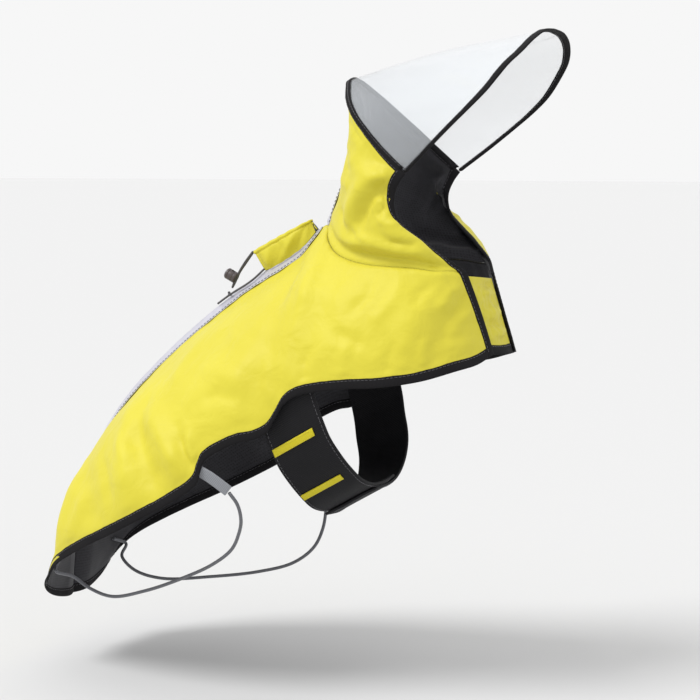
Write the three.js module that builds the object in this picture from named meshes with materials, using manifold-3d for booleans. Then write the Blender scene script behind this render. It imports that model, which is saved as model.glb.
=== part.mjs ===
import * as THREE from 'three';
import { mergeVertices } from 'three/addons/utils/BufferGeometryUtils.js';
import Module from 'manifold-3d';

// A hooded raincoat for a small dog, worn and hollow, in millimetres.
// +X is the way the wearer faces, +Y the wearer's left and +Z up.
// The origin is on the underside of the back seam, where the coat rests on the withers.

const clothWall = 1.2;
const visorWall = 1.0;
const bindingWall = 2.2;
const bindingWidth = 8.2;
const rimBindingWidth = 6.6;
const stripWall = 1.0;
const stripHalfWidth = 12.5;
const webbingWall = 2.4;
const seamGap = 0.3;
const seamEase = 0.8;

const right = -1;
const left = 1;

// One row per section of the coat's body, from the front edge to the tail.
// top: on the neck seam or the back seam. hem: on the outer edge of the hem binding.
// x and z lie in the coat's middle plane and w is the half width there.
// tent is 1 where the cloth falls straight and 0 where it rounds over like a barrel.
const bodySections = [
  { topX: 217, topW: 40, topZ: 20, hemX: 236, hemW: 27, hemZ: -47, tent: 0.9 },
  { topX: 206, topW: 54, topZ: 22, hemX: 229, hemW: 48, hemZ: -54, tent: 0.9 },
  { topX: 196, topW: 62, topZ: 22, hemX: 217, hemW: 69, hemZ: -58, tent: 0.9 },
  { topX: 180, topW: 66, topZ: 24, hemX: 194, hemW: 87, hemZ: -65, tent: 0.85 },
  { topX: 160, topW: 67, topZ: 25, hemX: 164, hemW: 97, hemZ: -70, tent: 0.8 },
  { topX: 140, topW: 64, topZ: 26, hemX: 138, hemW: 101, hemZ: -72, tent: 0.75 },
  { topX: 120, topW: 57, topZ: 29, hemX: 113, hemW: 103, hemZ: -75, tent: 0.7 },
  { topX: 102, topW: 45, topZ: 35, hemX: 95, hemW: 104, hemZ: -79, tent: 0.62 },
  { topX: 88, topW: 27, topZ: 45, hemX: 82, hemW: 104, hemZ: -87, tent: 0.55 },
  { topX: 77, topW: 0, topZ: 55, hemX: 74, hemW: 104, hemZ: -100, tent: 0.5 },
  { topX: 58, topW: 0, topZ: 38, hemX: 67, hemW: 105, hemZ: -111, tent: 0.48 },
  { topX: 38, topW: 0, topZ: 24.5, hemX: 56, hemW: 107, hemZ: -117, tent: 0.46 },
  { topX: 18, topW: 0, topZ: 12.5, hemX: 43, hemW: 109, hemZ: -120, tent: 0.44 },
  { topX: 0, topW: 0, topZ: 0.95, hemX: 28, hemW: 110, hemZ: -127, tent: 0.42 },
  { topX: -20, topW: 0, topZ: -14, hemX: 14, hemW: 111, hemZ: -136, tent: 0.4 },
  { topX: -42, topW: 0, topZ: -31, hemX: 10, hemW: 112, hemZ: -146, tent: 0.36 },
  { topX: -66, topW: 0, topZ: -51, hemX: 6, hemW: 114, hemZ: -158, tent: 0.32 },
  { topX: -92, topW: 0, topZ: -75, hemX: -18, hemW: 116, hemZ: -174, tent: 0.26 },
  { topX: -117, topW: 0, topZ: -101, hemX: -47, hemW: 114, hemZ: -190, tent: 0.2 },
  { topX: -139, topW: 0, topZ: -131, hemX: -78, hemW: 107, hemZ: -206, tent: 0.15 },
  { topX: -156, topW: 0, topZ: -166, hemX: -105, hemW: 98, hemZ: -219, tent: 0.12 },
  { topX: -168, topW: 0, topZ: -205, hemX: -130, hemW: 86, hemZ: -232, tent: 0.1 },
  { topX: -176, topW: 0, topZ: -245, hemX: -153, hemW: 74, hemZ: -246, tent: 0.1 },
  { topX: -180, topW: 0, topZ: -289, hemX: -175, hemW: 58, hemZ: -266, tent: 0.1 },
];
const neckBackSection = 9;
const tailSection = bodySections.length - 1;

// The left front edge runs further round the chest and lies under the right one.
const leftFrontSection = { topX: 222, topW: 14, topZ: 16, hemX: 242, hemW: 14, hemZ: -49, tent: 0.9 };

// One row per station of the hood, from the back seam to the front edge.
const visorSeamLine = [
  { x: 101, w: 0, z: 179 },
  { x: 102, w: 14, z: 176 },
  { x: 106, w: 26, z: 170 },
  { x: 111, w: 38, z: 163 },
  { x: 117, w: 48, z: 155 },
  { x: 125, w: 56, z: 146 },
  { x: 134, w: 61, z: 137 },
  { x: 145, w: 65, z: 126 },
  { x: 159, w: 68, z: 113 },
  { x: 174, w: 68, z: 100 },
];

// One row per step up the hood's back seam, from the neck to the visor seam.
const hoodBackLine = [
  { x: 77, w: 0, z: 55 },
  { x: 84, w: 0, z: 69 },
  { x: 91, w: 0, z: 84 },
  { x: 98, w: 0, z: 98 },
  { x: 104, w: 0, z: 112 },
  { x: 109, w: 0, z: 128 },
  { x: 111, w: 0, z: 145 },
  { x: 108, w: 0, z: 163 },
  { x: 101, w: 0, z: 179 },
];

// One row per step up the hood's front edge, from the neck to the visor.
const hoodFrontLine = [
  { x: 217, w: 40, z: 20 },
  { x: 205, w: 49, z: 30 },
  { x: 191, w: 57, z: 41 },
  { x: 178, w: 62, z: 51 },
  { x: 168, w: 65, z: 61 },
  { x: 164, w: 66, z: 71 },
  { x: 164, w: 67, z: 82 },
  { x: 168, w: 68, z: 92 },
  { x: 174, w: 68, z: 100 },
];

// The left front edge of the hood ends lower and nearer the middle, under the right one.
const leftHoodFoot = [
  { x: 222, w: 14, z: 16 },
  { x: 212, w: 34, z: 26 },
  { x: 194, w: 52, z: 39 },
];

// One row per station of the visor's rim, from its middle to the hood's front edge.
const visorRimLine = [
  { x: 278, w: 0, z: 216 },
  { x: 278, w: 28, z: 214 },
  { x: 276, w: 51, z: 207 },
  { x: 271, w: 69, z: 196 },
  { x: 263, w: 81, z: 185 },
  { x: 249, w: 88, z: 166 },
  { x: 235, w: 89, z: 152 },
  { x: 219, w: 86, z: 138 },
  { x: 198, w: 79, z: 120 },
  { x: 174, w: 68, z: 100 },
];

// The largest folds as soft ridges (lift > 0) and troughs, read in the side view.
// Each follows its path of [x, z] points and dies out towards both ends; reach is its half width.
// onRight and onLeft scale it on the two sides, which never fold alike.
const bodyFolds = [
  { reach: 13, lift: 4.5, onRight: 1, onLeft: 0.7, path: [[-82, -88], [-60, -176]] },
  { reach: 12, lift: 6, onRight: 1, onLeft: 0.8, path: [[-60, -96], [2, -152]] },
  { reach: 13, lift: -6, onRight: 1, onLeft: 0.9, path: [[-70, -110], [-22, -168]] },
  { reach: 11, lift: 3.5, onRight: 1, onLeft: 0.6, path: [[-136, -160], [-150, -236]] },
  { reach: 15, lift: -4, onRight: 1, onLeft: 1.2, path: [[-118, -150], [-96, -206]] },
  { reach: 17, lift: 3, onRight: 1, onLeft: 0.5, path: [[60, 8], [30, -96]] },
  { reach: 15, lift: -3, onRight: 1, onLeft: 1.3, path: [[112, 4], [84, -62]] },
  { reach: 9, lift: -3, onRight: 1, onLeft: 0.4, path: [[206, -2], [214, -40]] },
  { reach: 13, lift: 3, onRight: 1, onLeft: 1, path: [[190, 8], [176, -50]] },
  { reach: 16, lift: -2.5, onRight: 1, onLeft: 1, path: [[20, -30], [-24, -70]] },
];

const hoodFolds = [
  {
    reach: 8,
    lift: 4.5,
    onRight: 1,
    onLeft: 0.8,
    path: [[176, 94], [155, 98], [144, 95], [134, 86], [125, 72], [119, 58], [113, 46]],
  },
  {
    reach: 7,
    lift: -4,
    onRight: 1,
    onLeft: 0.9,
    path: [[170, 86], [151, 85], [143, 74], [136, 62], [130, 52]],
  },
  {
    reach: 8,
    lift: 4.5,
    onRight: 1,
    onLeft: 1.1,
    path: [[98, 50], [118, 43], [134, 43], [150, 44], [166, 40], [182, 36], [200, 28]],
  },
  { reach: 6, lift: 2.6, onRight: 1, onLeft: 0.8, path: [[198, 39], [179, 47], [165, 52], [150, 58]] },
  { reach: 6, lift: -2.2, onRight: 1, onLeft: 1, path: [[192, 34], [177, 41], [162, 47], [146, 51]] },
  { reach: 9, lift: 1.6, onRight: 1, onLeft: 1, path: [[114, 140], [112, 112], [107, 88]] },
  { reach: 8, lift: -1.6, onRight: 1, onLeft: 1.2, path: [[136, 128], [150, 111], [162, 100]] },
  { reach: 8, lift: 1.8, onRight: 1, onLeft: 0.7, path: [[118, 116], [130, 104], [146, 100]] },
];

// The share of a fold's path over which it dies out, and what is left of it at the very end.
const foldFade = 0.3;
const foldEnd = 0.25;

function clamp(value, low, high) {
  return Math.min(Math.max(value, low), high);
}

// A smooth curve through the rows of a table, at any fraction of a row.
function rowAt(rows, place) {
  const last = rows.length - 1;
  const index = clamp(Math.floor(place), 0, last - 1);
  const part = place - index;
  const before = rows[Math.max(index - 1, 0)];
  const start = rows[index];
  const end = rows[index + 1];
  const after = rows[Math.min(index + 2, last)];
  const row = {};
  for (const name of Object.keys(start)) {
    const slopeIn = (end[name] - before[name]) / 2;
    const slopeOut = (after[name] - start[name]) / 2;
    const change = end[name] - start[name];
    const bend = slopeIn + slopeOut - 2 * change;
    const sag = 3 * change - 2 * slopeIn - slopeOut;
    row[name] = start[name] + part * (slopeIn + part * (sag + part * bend));
  }
  return row;
}

// Rises smoothly from 0 at an edge to 1 at the reach, so that folds fade out towards seams.
function edgeFade(distance, reach) {
  const part = clamp(distance / reach, 0, 1);
  return part * part * (3 - 2 * part);
}

// How far a point lies from a path in the side view, and how far along the path it is.
function nearestOnPath(path, point) {
  let away = Infinity;
  let run = 0;
  let length = 0;
  for (let index = 0; index < path.length - 1; index += 1) {
    const [startX, startZ] = path[index];
    const stepX = path[index + 1][0] - startX;
    const stepZ = path[index + 1][1] - startZ;
    const step = Math.hypot(stepX, stepZ);
    const along = ((point.x - startX) * stepX + (point.z - startZ) * stepZ) / (step * step);
    const part = clamp(along, 0, 1);
    const distance = Math.hypot(point.x - startX - part * stepX, point.z - startZ - part * stepZ);
    if (distance < away) {
      away = distance;
      run = length + part * step;
    }
    length += step;
  }
  return { away, run, length };
}

// How much the folds lift the cloth at a point, seen from the side.
function foldLift(folds, point, side) {
  let total = 0;
  for (const fold of folds) {
    const { away, run, length } = nearestOnPath(fold.path, point);
    const taper = edgeFade(run, foldFade * length) * edgeFade(length - run, foldFade * length);
    const share = side === right ? fold.onRight : fold.onLeft;
    const height = share * fold.lift * (foldEnd + (1 - foldEnd) * taper);
    total += height * Math.exp(-((away / fold.reach) ** 2));
  }
  return total;
}

function sectionsOf(side) {
  if (side === right) {
    return bodySections;
  }
  return [leftFrontSection, ...bodySections.slice(1)];
}

const ridgeHeight = 7;
const ridgeReach = 20;

// A point of the coat's body: section counts along the coat, down goes from 0 at the top to 1 at the hem.
function smoothBodyPoint(side, section, down) {
  const rows = sectionsOf(side);
  const row = rowAt(rows, section);
  const turn = down * Math.PI / 2;
  const fall = row.tent * down + (1 - row.tent) * (1 - Math.cos(turn));
  const spread = Math.sin(turn);
  const point = new THREE.Vector3();
  point.x = row.topX + (row.hemX - row.topX) * fall;
  point.y = side * (row.topW + (row.hemW - row.topW) * spread);
  point.z = row.topZ + (row.hemZ - row.topZ) * fall;
  if (section > neckBackSection) {
    // The cloth falls away on both sides of the back seam, which stands as a low crest.
    const ahead = rowAt(rows, Math.min(section + 0.5, tailSection));
    const behind = rowAt(rows, section - 0.5);
    const backward = new THREE.Vector3(ahead.topX - behind.topX, 0, ahead.topZ - behind.topZ).normalize();
    const fade = edgeFade(section - neckBackSection, 1.5) * (1 - down);
    const crest = Math.max(1 - Math.abs(point.y) / ridgeReach, 0) ** 1.6;
    const sink = ridgeHeight * fade * (1 - crest);
    point.x -= sink * backward.z;
    point.z += sink * backward.x;
  }
  return point;
}

function normalOf(surface, a, b) {
  const step = 0.004;
  const alongA = surface(a + step, b).sub(surface(a - step, b));
  const alongB = surface(a, b + step).sub(surface(a, b - step));
  return alongA.cross(alongB).normalize();
}

function bodyPoint(side, section, down) {
  const smooth = (a, b) => smoothBodyPoint(side, clamp(a, 0, tailSection), clamp(b, 0, 1));
  const point = smooth(section, down);
  const inner = clamp(down, 0.02, 0.98);
  const normal = normalOf(smooth, clamp(section, 0.01, tailSection - 0.01), inner);
  if (normal.y * side < 0) {
    normal.negate();
  }
  const fade = edgeFade(down, 0.25) * edgeFade(section, 0.8);
  return point.addScaledVector(normal, fade * foldLift(bodyFolds, point, side));
}

function neckPoint(side, place) {
  const rows = sectionsOf(side).slice(0, neckBackSection + 1).reverse();
  const row = rowAt(rows, place * neckBackSection);
  return new THREE.Vector3(row.topX, side * row.topW, row.topZ);
}

function linePoint(side, rows, place) {
  const row = rowAt(rows, place * (rows.length - 1));
  return new THREE.Vector3(row.x, side * row.w, row.z);
}

// A point of the hood: forward goes from 0 at the back seam to 1 at the front edge,
// up from 0 at the neck seam to 1 at the visor seam.
function smoothHoodPoint(side, forward, up) {
  const neck = neckPoint(side, forward);
  const seam = linePoint(side, visorSeamLine, forward);
  const back = linePoint(side, hoodBackLine, up);
  const frontLine = side === right ? hoodFrontLine : [...leftHoodFoot, ...hoodFrontLine.slice(3)];
  const front = linePoint(side, frontLine, up);
  const point = new THREE.Vector3();
  point.addScaledVector(neck, 1 - up).addScaledVector(seam, up);
  point.addScaledVector(back, 1 - forward).addScaledVector(front, forward);
  point.addScaledVector(neckPoint(side, 0), -(1 - forward) * (1 - up));
  point.addScaledVector(neckPoint(side, 1), -forward * (1 - up));
  point.addScaledVector(linePoint(side, visorSeamLine, 0), -(1 - forward) * up);
  point.addScaledVector(linePoint(side, visorSeamLine, 1), -forward * up);
  return point;
}

const hoodTuck = { depth: 5, height: 8, reach: 6 };

function hoodPoint(side, forward, up) {
  const smooth = (a, b) => smoothHoodPoint(side, clamp(a, 0, 1), clamp(b, 0, 1));
  const point = smooth(forward, up);
  const normal = normalOf(smooth, clamp(forward, 0.01, 0.99), clamp(up, 0.01, 0.99));
  if (normal.y * side < 0) {
    normal.negate();
  }
  const acrossFade = edgeFade(forward, 0.18) * edgeFade(1 - forward, 0.1);
  const fade = acrossFade * edgeFade(up, 0.12) * edgeFade(1 - up, 0.12);
  // The cloth tucks in just above the neck seam, under the hood's hanging roll.
  const seamHeight = point.distanceTo(smooth(forward, 0));
  const depth = hoodTuck.depth * Math.exp(-(((seamHeight - hoodTuck.height) / hoodTuck.reach) ** 2));
  const tuck = depth * edgeFade(forward, 0.15) * edgeFade(1 - forward, 0.2);
  return point.addScaledVector(normal, fade * foldLift(hoodFolds, point, side) - tuck);
}

const visorBow = 5;

// A point of the clear visor: sideways goes from 0 at its middle to 1 at the hood's front edge,
// out from 0 at the seam to 1 at the rim.
function visorPoint(side, sideways, out) {
  const seam = linePoint(side, visorSeamLine, sideways);
  const rim = linePoint(side, visorRimLine, sideways);
  const point = seam.lerp(rim, out);
  point.z += visorBow * Math.sin(Math.PI * out) * (1 - sideways) ** 2;
  return point;
}

// Moves from a patch's edge inwards by a real distance, in steps of the patch's own measure.
function insetMeasure(surface, fixed, start, direction, distance) {
  const step = 0.0025 * direction;
  let place = start;
  let gone = 0;
  let here = surface(fixed, place);
  while (gone < distance) {
    const next = surface(fixed, place + step);
    const length = next.distanceTo(here);
    if (gone + length >= distance) {
      return place + step * (distance - gone) / length;
    }
    gone += length;
    place += step;
    here = next;
  }
  return place;
}

function spacing(count) {
  return Array.from({ length: count + 1 }, (unused, index) => index / count);
}

function gridOf(surface, rowPlaces, columnPlaces) {
  return rowPlaces.map((row) => columnPlaces.map((column) => surface(row, column)));
}

function gridNormal(grid, row, column, closed) {
  const rows = grid.length;
  const columns = grid[0].length;
  const before = grid[Math.max(row - 1, 0)][column];
  const after = grid[Math.min(row + 1, rows - 1)][column];
  const wrapped = (index) => (closed ? (index + columns) % columns : clamp(index, 0, columns - 1));
  const one = grid[row][wrapped(column - 1)];
  const other = grid[row][wrapped(column + 1)];
  return after.clone().sub(before).cross(other.clone().sub(one)).normalize();
}

function signedVolume(vertices, triangles) {
  let volume = 0;
  const cross = new THREE.Vector3();
  for (const [a, b, c] of triangles) {
    cross.crossVectors(vertices[b], vertices[c]);
    volume += vertices[a].dot(cross) / 6;
  }
  return volume;
}

function geometryFrom(vertices, triangles) {
  const outward = signedVolume(vertices, triangles) > 0;
  const geometry = new THREE.BufferGeometry();
  const positions = vertices.flatMap((vertex) => [vertex.x, vertex.y, vertex.z]);
  geometry.setAttribute('position', new THREE.Float32BufferAttribute(positions, 3));
  geometry.setIndex(triangles.flatMap(([a, b, c]) => (outward ? [a, b, c] : [a, c, b])));
  return geometry;
}

// Turns a grid of points into a cloth wall: a closed solid of even thickness.
// lift moves the wall's middle off the grid, away from the point called inside.
// half keeps a wall on its own side of the middle plane.
function clothSolid(grid, { thickness, inside, lift = 0, half = 0, closed = false }) {
  const rows = grid.length;
  const columns = grid[0].length;
  const middle = grid[Math.floor(rows / 2)][Math.floor(columns / 2)];
  const middleNormal = gridNormal(grid, Math.floor(rows / 2), Math.floor(columns / 2), closed);
  const sign = middleNormal.dot(middle.clone().sub(inside)) < 0 ? -1 : 1;
  const vertices = [];
  for (const level of [lift + thickness / 2, lift - thickness / 2]) {
    for (let row = 0; row < rows; row += 1) {
      for (let column = 0; column < columns; column += 1) {
        const vertex = grid[row][column].clone();
        vertex.addScaledVector(gridNormal(grid, row, column, closed), sign * level);
        if (half !== 0) {
          vertex.y = half * Math.max(half * vertex.y, seamGap / 2);
        }
        vertices.push(vertex);
      }
    }
  }
  const layer = rows * columns;
  const triangles = [];
  const quad = (a, b, c, d) => triangles.push([a, b, c], [a, c, d]);
  const at = (row, column) => row * columns + (column % columns);
  const columnSpans = closed ? columns : columns - 1;
  for (let row = 0; row < rows - 1; row += 1) {
    for (let column = 0; column < columnSpans; column += 1) {
      const a = at(row, column);
      const b = at(row + 1, column);
      const c = at(row + 1, column + 1);
      const d = at(row, column + 1);
      quad(a, b, c, d);
      quad(layer + a, layer + d, layer + c, layer + b);
    }
  }
  for (let column = 0; column < columnSpans; column += 1) {
    const first = [at(0, column), at(0, column + 1)];
    const final = [at(rows - 1, column), at(rows - 1, column + 1)];
    quad(first[0], first[1], layer + first[1], layer + first[0]);
    quad(final[1], final[0], layer + final[0], layer + final[1]);
  }
  if (!closed) {
    for (let row = 0; row < rows - 1; row += 1) {
      const near = [at(row, 0), at(row + 1, 0)];
      const far = [at(row, columns - 1), at(row + 1, columns - 1)];
      quad(near[1], near[0], layer + near[0], layer + near[1]);
      quad(far[0], far[1], layer + far[1], layer + far[0]);
    }
  }
  return geometryFrom(vertices, triangles);
}

function finish(color, roughness, opacity = 1) {
  const settings = { color, roughness, metalness: 0 };
  if (opacity < 1) {
    settings.transparent = true;
    settings.opacity = opacity;
  }
  return new THREE.MeshStandardMaterial(settings);
}

const yellow = '#f4ea46';
const black = '#37353a';
const webbingBlack = '#1b1b1e';
const silver = '#e4e2ea';

const coat = new THREE.Group();

function addPiece(name, geometry, material) {
  const mesh = new THREE.Mesh(geometry, material);
  mesh.name = name;
  coat.add(mesh);
  return mesh;
}

const insideBody = new THREE.Vector3(20, 0, -110);
const insideHood = new THREE.Vector3(150, 0, 80);
const insideVisor = new THREE.Vector3(190, 0, 110);

// The body's left and right panels, cut back from the neck seam and from the bindings.
const bodySpread = [0, 0.04, 0.1, 0.18, 0.29, 0.41, 0.53, 0.65, 0.77, 0.89, 1];
const bodyRows = 38;

// The cloth stops short of the neck seam, most at the back, where hood and coat meet at the sharpest angle.
const neckSeamStep = { atBack: 1.6, atFront: 0.45 };

function neckStep(forward) {
  return neckSeamStep.atBack + (neckSeamStep.atFront - neckSeamStep.atBack) * forward;
}

function panelPoint(side, rowPart, columnPart) {
  const surface = (section, down) => bodyPoint(side, section, down);
  const across = (down, section) => bodyPoint(side, section, down);
  const nominal = rowPart * tailSection;
  const cornerEase = 3.5 * edgeFade(rowPart - 0.93, 0.07);
  const bottom = insetMeasure(surface, nominal, 1, -1, bindingWidth + seamGap + seamEase + cornerEase);
  const onNeck = nominal < neckBackSection;
  const step = neckStep(1 - nominal / neckBackSection);
  const top = onNeck ? insetMeasure(surface, nominal, 0, 1, step) : 0;
  const down = top + (bottom - top) * columnPart;
  const first = insetMeasure(across, down, 0, 10, bindingWidth + seamGap + seamEase);
  const last = insetMeasure(across, down, tailSection, -10, bindingWidth + seamGap + seamEase);
  return bodyPoint(side, first + (last - first) * rowPart, down);
}

function addBody(side, name) {
  const grid = gridOf((row, column) => panelPoint(side, row, column), spacing(bodyRows), bodySpread);
  const solid = clothSolid(grid, { thickness: clothWall, inside: insideBody, half: side });
  return addPiece(name, solid, finish(yellow, 0.45));
}

const bodyPanels = [addBody(right, 'body_right'), addBody(left, 'body_left')];

// The hood's halves, cut back from the neck seam, the front binding and the visor seam binding.
function hoodPanelPoint(side, rowPart, columnPart) {
  const upward = (forward, up) => hoodPoint(side, forward, up);
  const across = (up, forward) => hoodPoint(side, forward, up);
  const top = insetMeasure(upward, rowPart, 1, -1, bindingWidth / 2 + seamGap + seamEase);
  const bottom = insetMeasure(upward, rowPart, 0, 1, neckStep(rowPart));
  const up = bottom + (top - bottom) * columnPart;
  const last = insetMeasure(across, up, 1, -1, bindingWidth + seamGap + seamEase);
  return hoodPoint(side, last * rowPart, up);
}

function addHood(side, name) {
  const grid = gridOf((row, column) => hoodPanelPoint(side, row, column), spacing(18), spacing(14));
  const solid = clothSolid(grid, { thickness: clothWall, inside: insideHood, half: side });
  addPiece(name, solid, finish(yellow, 0.45));
}

addHood(right, 'hood_right');
addHood(left, 'hood_left');

// The clear visor is one sheet across both sides.
const visorEnd = 0.955;

function visorSheetPoint(across, out) {
  const side = across < 0 ? right : left;
  const sideways = Math.abs(across) * visorEnd;
  const surface = (fixed, place) => visorPoint(side, fixed, place);
  const first = insetMeasure(surface, sideways, 0, 1, bindingWidth / 2 + seamGap);
  const last = insetMeasure(surface, sideways, 1, -1, rimBindingWidth + seamGap);
  return visorPoint(side, sideways, first + (last - first) * out);
}

const bothWays = spacing(30).map((part) => part * 2 - 1);
const visorGrid = gridOf(visorSheetPoint, bothWays, spacing(5));
const clearFilm = finish('#e9edf0', 0.08, 0.3);
addPiece('visor', clothSolid(visorGrid, { thickness: visorWall, inside: insideVisor }), clearFilm);

// A binding is a folded tape along an edge: each row of its grid is its inner and its outer line.
function addBinding(name, rows, inside, half = 0) {
  const solid = clothSolid(rows, { thickness: bindingWall, inside, half });
  addPiece(name, solid, finish(black, 0.7));
}

function frontBindingRows(side) {
  const hoodAcross = (up, forward) => hoodPoint(side, forward, up);
  const bodyAcross = (down, section) => bodyPoint(side, section, down);
  const rows = [];
  for (const up of spacing(14).reverse()) {
    const inner = insetMeasure(hoodAcross, up, 1, -1, bindingWidth);
    rows.push([hoodPoint(side, inner, up), hoodPoint(side, 1, up)]);
  }
  for (const down of spacing(9).slice(1)) {
    const inner = insetMeasure(bodyAcross, down, 0, 10, bindingWidth);
    rows.push([bodyPoint(side, inner, down), bodyPoint(side, 0, down)]);
  }
  return rows;
}

addBinding('front_binding_right', frontBindingRows(right), insideHood);
addBinding('front_binding_left', frontBindingRows(left), insideHood);

// The hem binding runs from one front edge, along the flank, round the tail and back up the other flank.
function hemBindingRows(side) {
  const downward = (section, down) => bodyPoint(side, section, down);
  const across = (down, section) => bodyPoint(side, section, down);
  const first = insetMeasure(across, 1, 0, 10, bindingWidth + seamGap);
  const last = insetMeasure(across, 1, tailSection, -10, bindingWidth);
  const low = insetMeasure(downward, last, 1, -1, bindingWidth);
  const rows = [];
  for (const part of spacing(bodyRows)) {
    const section = first + (last - first) * part;
    const inner = insetMeasure(downward, section, 1, -1, bindingWidth);
    rows.push([bodyPoint(side, section, inner), bodyPoint(side, section, 1)]);
  }
  const corner = bodyPoint(side, last, low);
  for (const turn of [0.25, 0.5, 0.75]) {
    const sine = Math.sin(turn * Math.PI / 2);
    const cosine = Math.cos(turn * Math.PI / 2);
    const outer = bodyPoint(side, last + (tailSection - last) * sine, low + (1 - low) * cosine);
    rows.push([corner.clone().lerp(outer, 0.16), outer]);
  }
  for (const down of spacing(6).map((part) => low * (1 - part))) {
    const inner = insetMeasure(across, down, tailSection, -10, bindingWidth);
    rows.push([bodyPoint(side, inner, down), bodyPoint(side, tailSection, down)]);
  }
  return rows;
}

const hemRows = [...hemBindingRows(right), ...hemBindingRows(left).reverse().slice(1)];
addBinding('hem_binding', hemRows, insideBody);

// The visor's bindings: one over the seam that joins it to the hood, and one round its rim.
const seamBindingEnd = 0.93;

function seamBindingRow(across) {
  const side = across < 0 ? right : left;
  const sideways = Math.abs(across) * seamBindingEnd;
  const hoodSurface = (forward, up) => hoodPoint(side, forward, up);
  const visorSurface = (fixed, out) => visorPoint(side, fixed, out);
  const hoodSide = insetMeasure(hoodSurface, sideways, 1, -1, bindingWidth / 2);
  const visorSide = insetMeasure(visorSurface, sideways, 0, 1, bindingWidth / 2);
  const middle = linePoint(side, visorSeamLine, sideways);
  return [hoodPoint(side, sideways, hoodSide), middle, visorPoint(side, sideways, visorSide)];
}

addBinding('visor_seam_binding', spacing(32).map((part) => seamBindingRow(part * 2 - 1)), insideHood);

function rimBindingRow(across) {
  const side = across < 0 ? right : left;
  const sideways = Math.abs(across);
  const surface = (fixed, place) => visorPoint(side, fixed, place);
  const seamClear = sideways > seamBindingEnd ? 0.8 : bindingWidth / 2 + 1;
  const lowest = insetMeasure(surface, Math.min(sideways, 0.985), 0, 1, seamClear);
  const inner = insetMeasure(surface, Math.min(sideways, 0.97), 1, -1, rimBindingWidth);
  return [visorPoint(side, sideways, clamp(inner, lowest, 0.97)), visorPoint(side, sideways, 1)];
}

const rimEnd = 0.985;
const rimPlaces = spacing(44).map((part) => (part * 2 - 1) * rimEnd);
addBinding('visor_rim_binding', rimPlaces.map(rimBindingRow), insideVisor);

// A point on the coat's back at a real distance from the back seam, negative on the right.
function backPoint(section, sideways) {
  const side = sideways < 0 ? right : left;
  const surface = (fixed, place) => bodyPoint(side, fixed, place);
  const down = insetMeasure(surface, section, 0, 1, Math.abs(sideways));
  return bodyPoint(side, section, down);
}

function hoodBackPoint(up, sideways) {
  const side = sideways < 0 ? right : left;
  const surface = (fixed, place) => hoodPoint(side, place, fixed);
  return hoodPoint(side, insetMeasure(surface, up, 0, 1, Math.abs(sideways)), up);
}

// The leash port: a slit through the back seam under a gathered sleeve that leans backwards.
const portSlit = { middleX: 45, middleZ: 30, length: 50, width: 7.4 };
const portBase = { firstSection: 9.42, lastSection: 11.9, halfWidth: 5.2 };
const portRim = { middleX: 35, middleZ: 45.5, alongX: 0.887, alongZ: 0.46, halfLength: 30, halfWidth: 5 };

const wasm = await Module();
wasm.setup();

function toSolid(geometry) {
  const bare = geometry.clone();
  bare.deleteAttribute('normal');
  bare.deleteAttribute('uv');
  const merged = mergeVertices(bare, 1e-4);
  const vertProperties = new Float32Array(merged.attributes.position.array);
  const triVerts = new Uint32Array(merged.index.array);
  return new wasm.Manifold(new wasm.Mesh({ numProp: 3, vertProperties, triVerts }));
}

function fromSolid(solid) {
  const mesh = solid.getMesh();
  const geometry = new THREE.BufferGeometry();
  geometry.setAttribute('position', new THREE.Float32BufferAttribute(mesh.vertProperties, 3));
  geometry.setIndex(Array.from(mesh.triVerts));
  return geometry;
}

function slitCutter() {
  const shape = new THREE.Shape();
  shape.absellipse(0, 0, portSlit.length / 2, portSlit.width / 2, 0, Math.PI * 2);
  const cutter = new THREE.ExtrudeGeometry(shape, { depth: 40, bevelEnabled: false, curveSegments: 10 });
  cutter.translate(0, 0, -20);
  // The slit lies along the back seam, which falls to the rear there.
  cutter.rotateY(-Math.atan2(35, 50));
  cutter.translate(portSlit.middleX, 0, portSlit.middleZ);
  return toSolid(cutter);
}

const slit = slitCutter();

function cutSlit(geometry) {
  return fromSolid(toSolid(geometry).subtract(slit));
}

for (const mesh of bodyPanels) {
  mesh.geometry = cutSlit(mesh.geometry);
}

// The reflective strips lie over the back seam of the coat and of the hood.
const stripSpread = [-stripHalfWidth, -8, -4, 0, 4, 8, stripHalfWidth];
const stripLift = clothWall / 2 + seamGap + seamEase + stripWall / 2;

function addStrip(name, surface, places, inside, cut) {
  const grid = gridOf(surface, places, stripSpread);
  const solid = clothSolid(grid, { thickness: stripWall, inside, lift: stripLift });
  addPiece(name, cut ? cutSlit(solid) : solid, finish(silver, 0.35));
}

const backStripSpan = { first: 9.2, last: 22.45 };
const hoodStripSpan = { first: 0.045, last: 0.945 };

function placesBetween({ first, last }, count) {
  return spacing(count).map((part) => first + (last - first) * part);
}

const backStripPlaces = placesBetween(backStripSpan, 26);
const hoodStripPlaces = placesBetween(hoodStripSpan, 9);
addStrip('reflective_strip_back', backPoint, backStripPlaces, insideBody, true);
addStrip('reflective_strip_hood', hoodBackPoint, hoodStripPlaces, insideHood, false);

// The back seam falls to the rear here, so its outward direction leans backwards.
const portNormal = new THREE.Vector3(-0.57, 0, 0.82);

// The sleeve's rings go from the strip, round the slit, up to its gathered rim.
const sleeveSteps = 28;
const sleeveStand = 1.3;
const sleeveBulge = 0.5;
const rimGather = { depth: 0.1, pleats: 9 };

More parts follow.
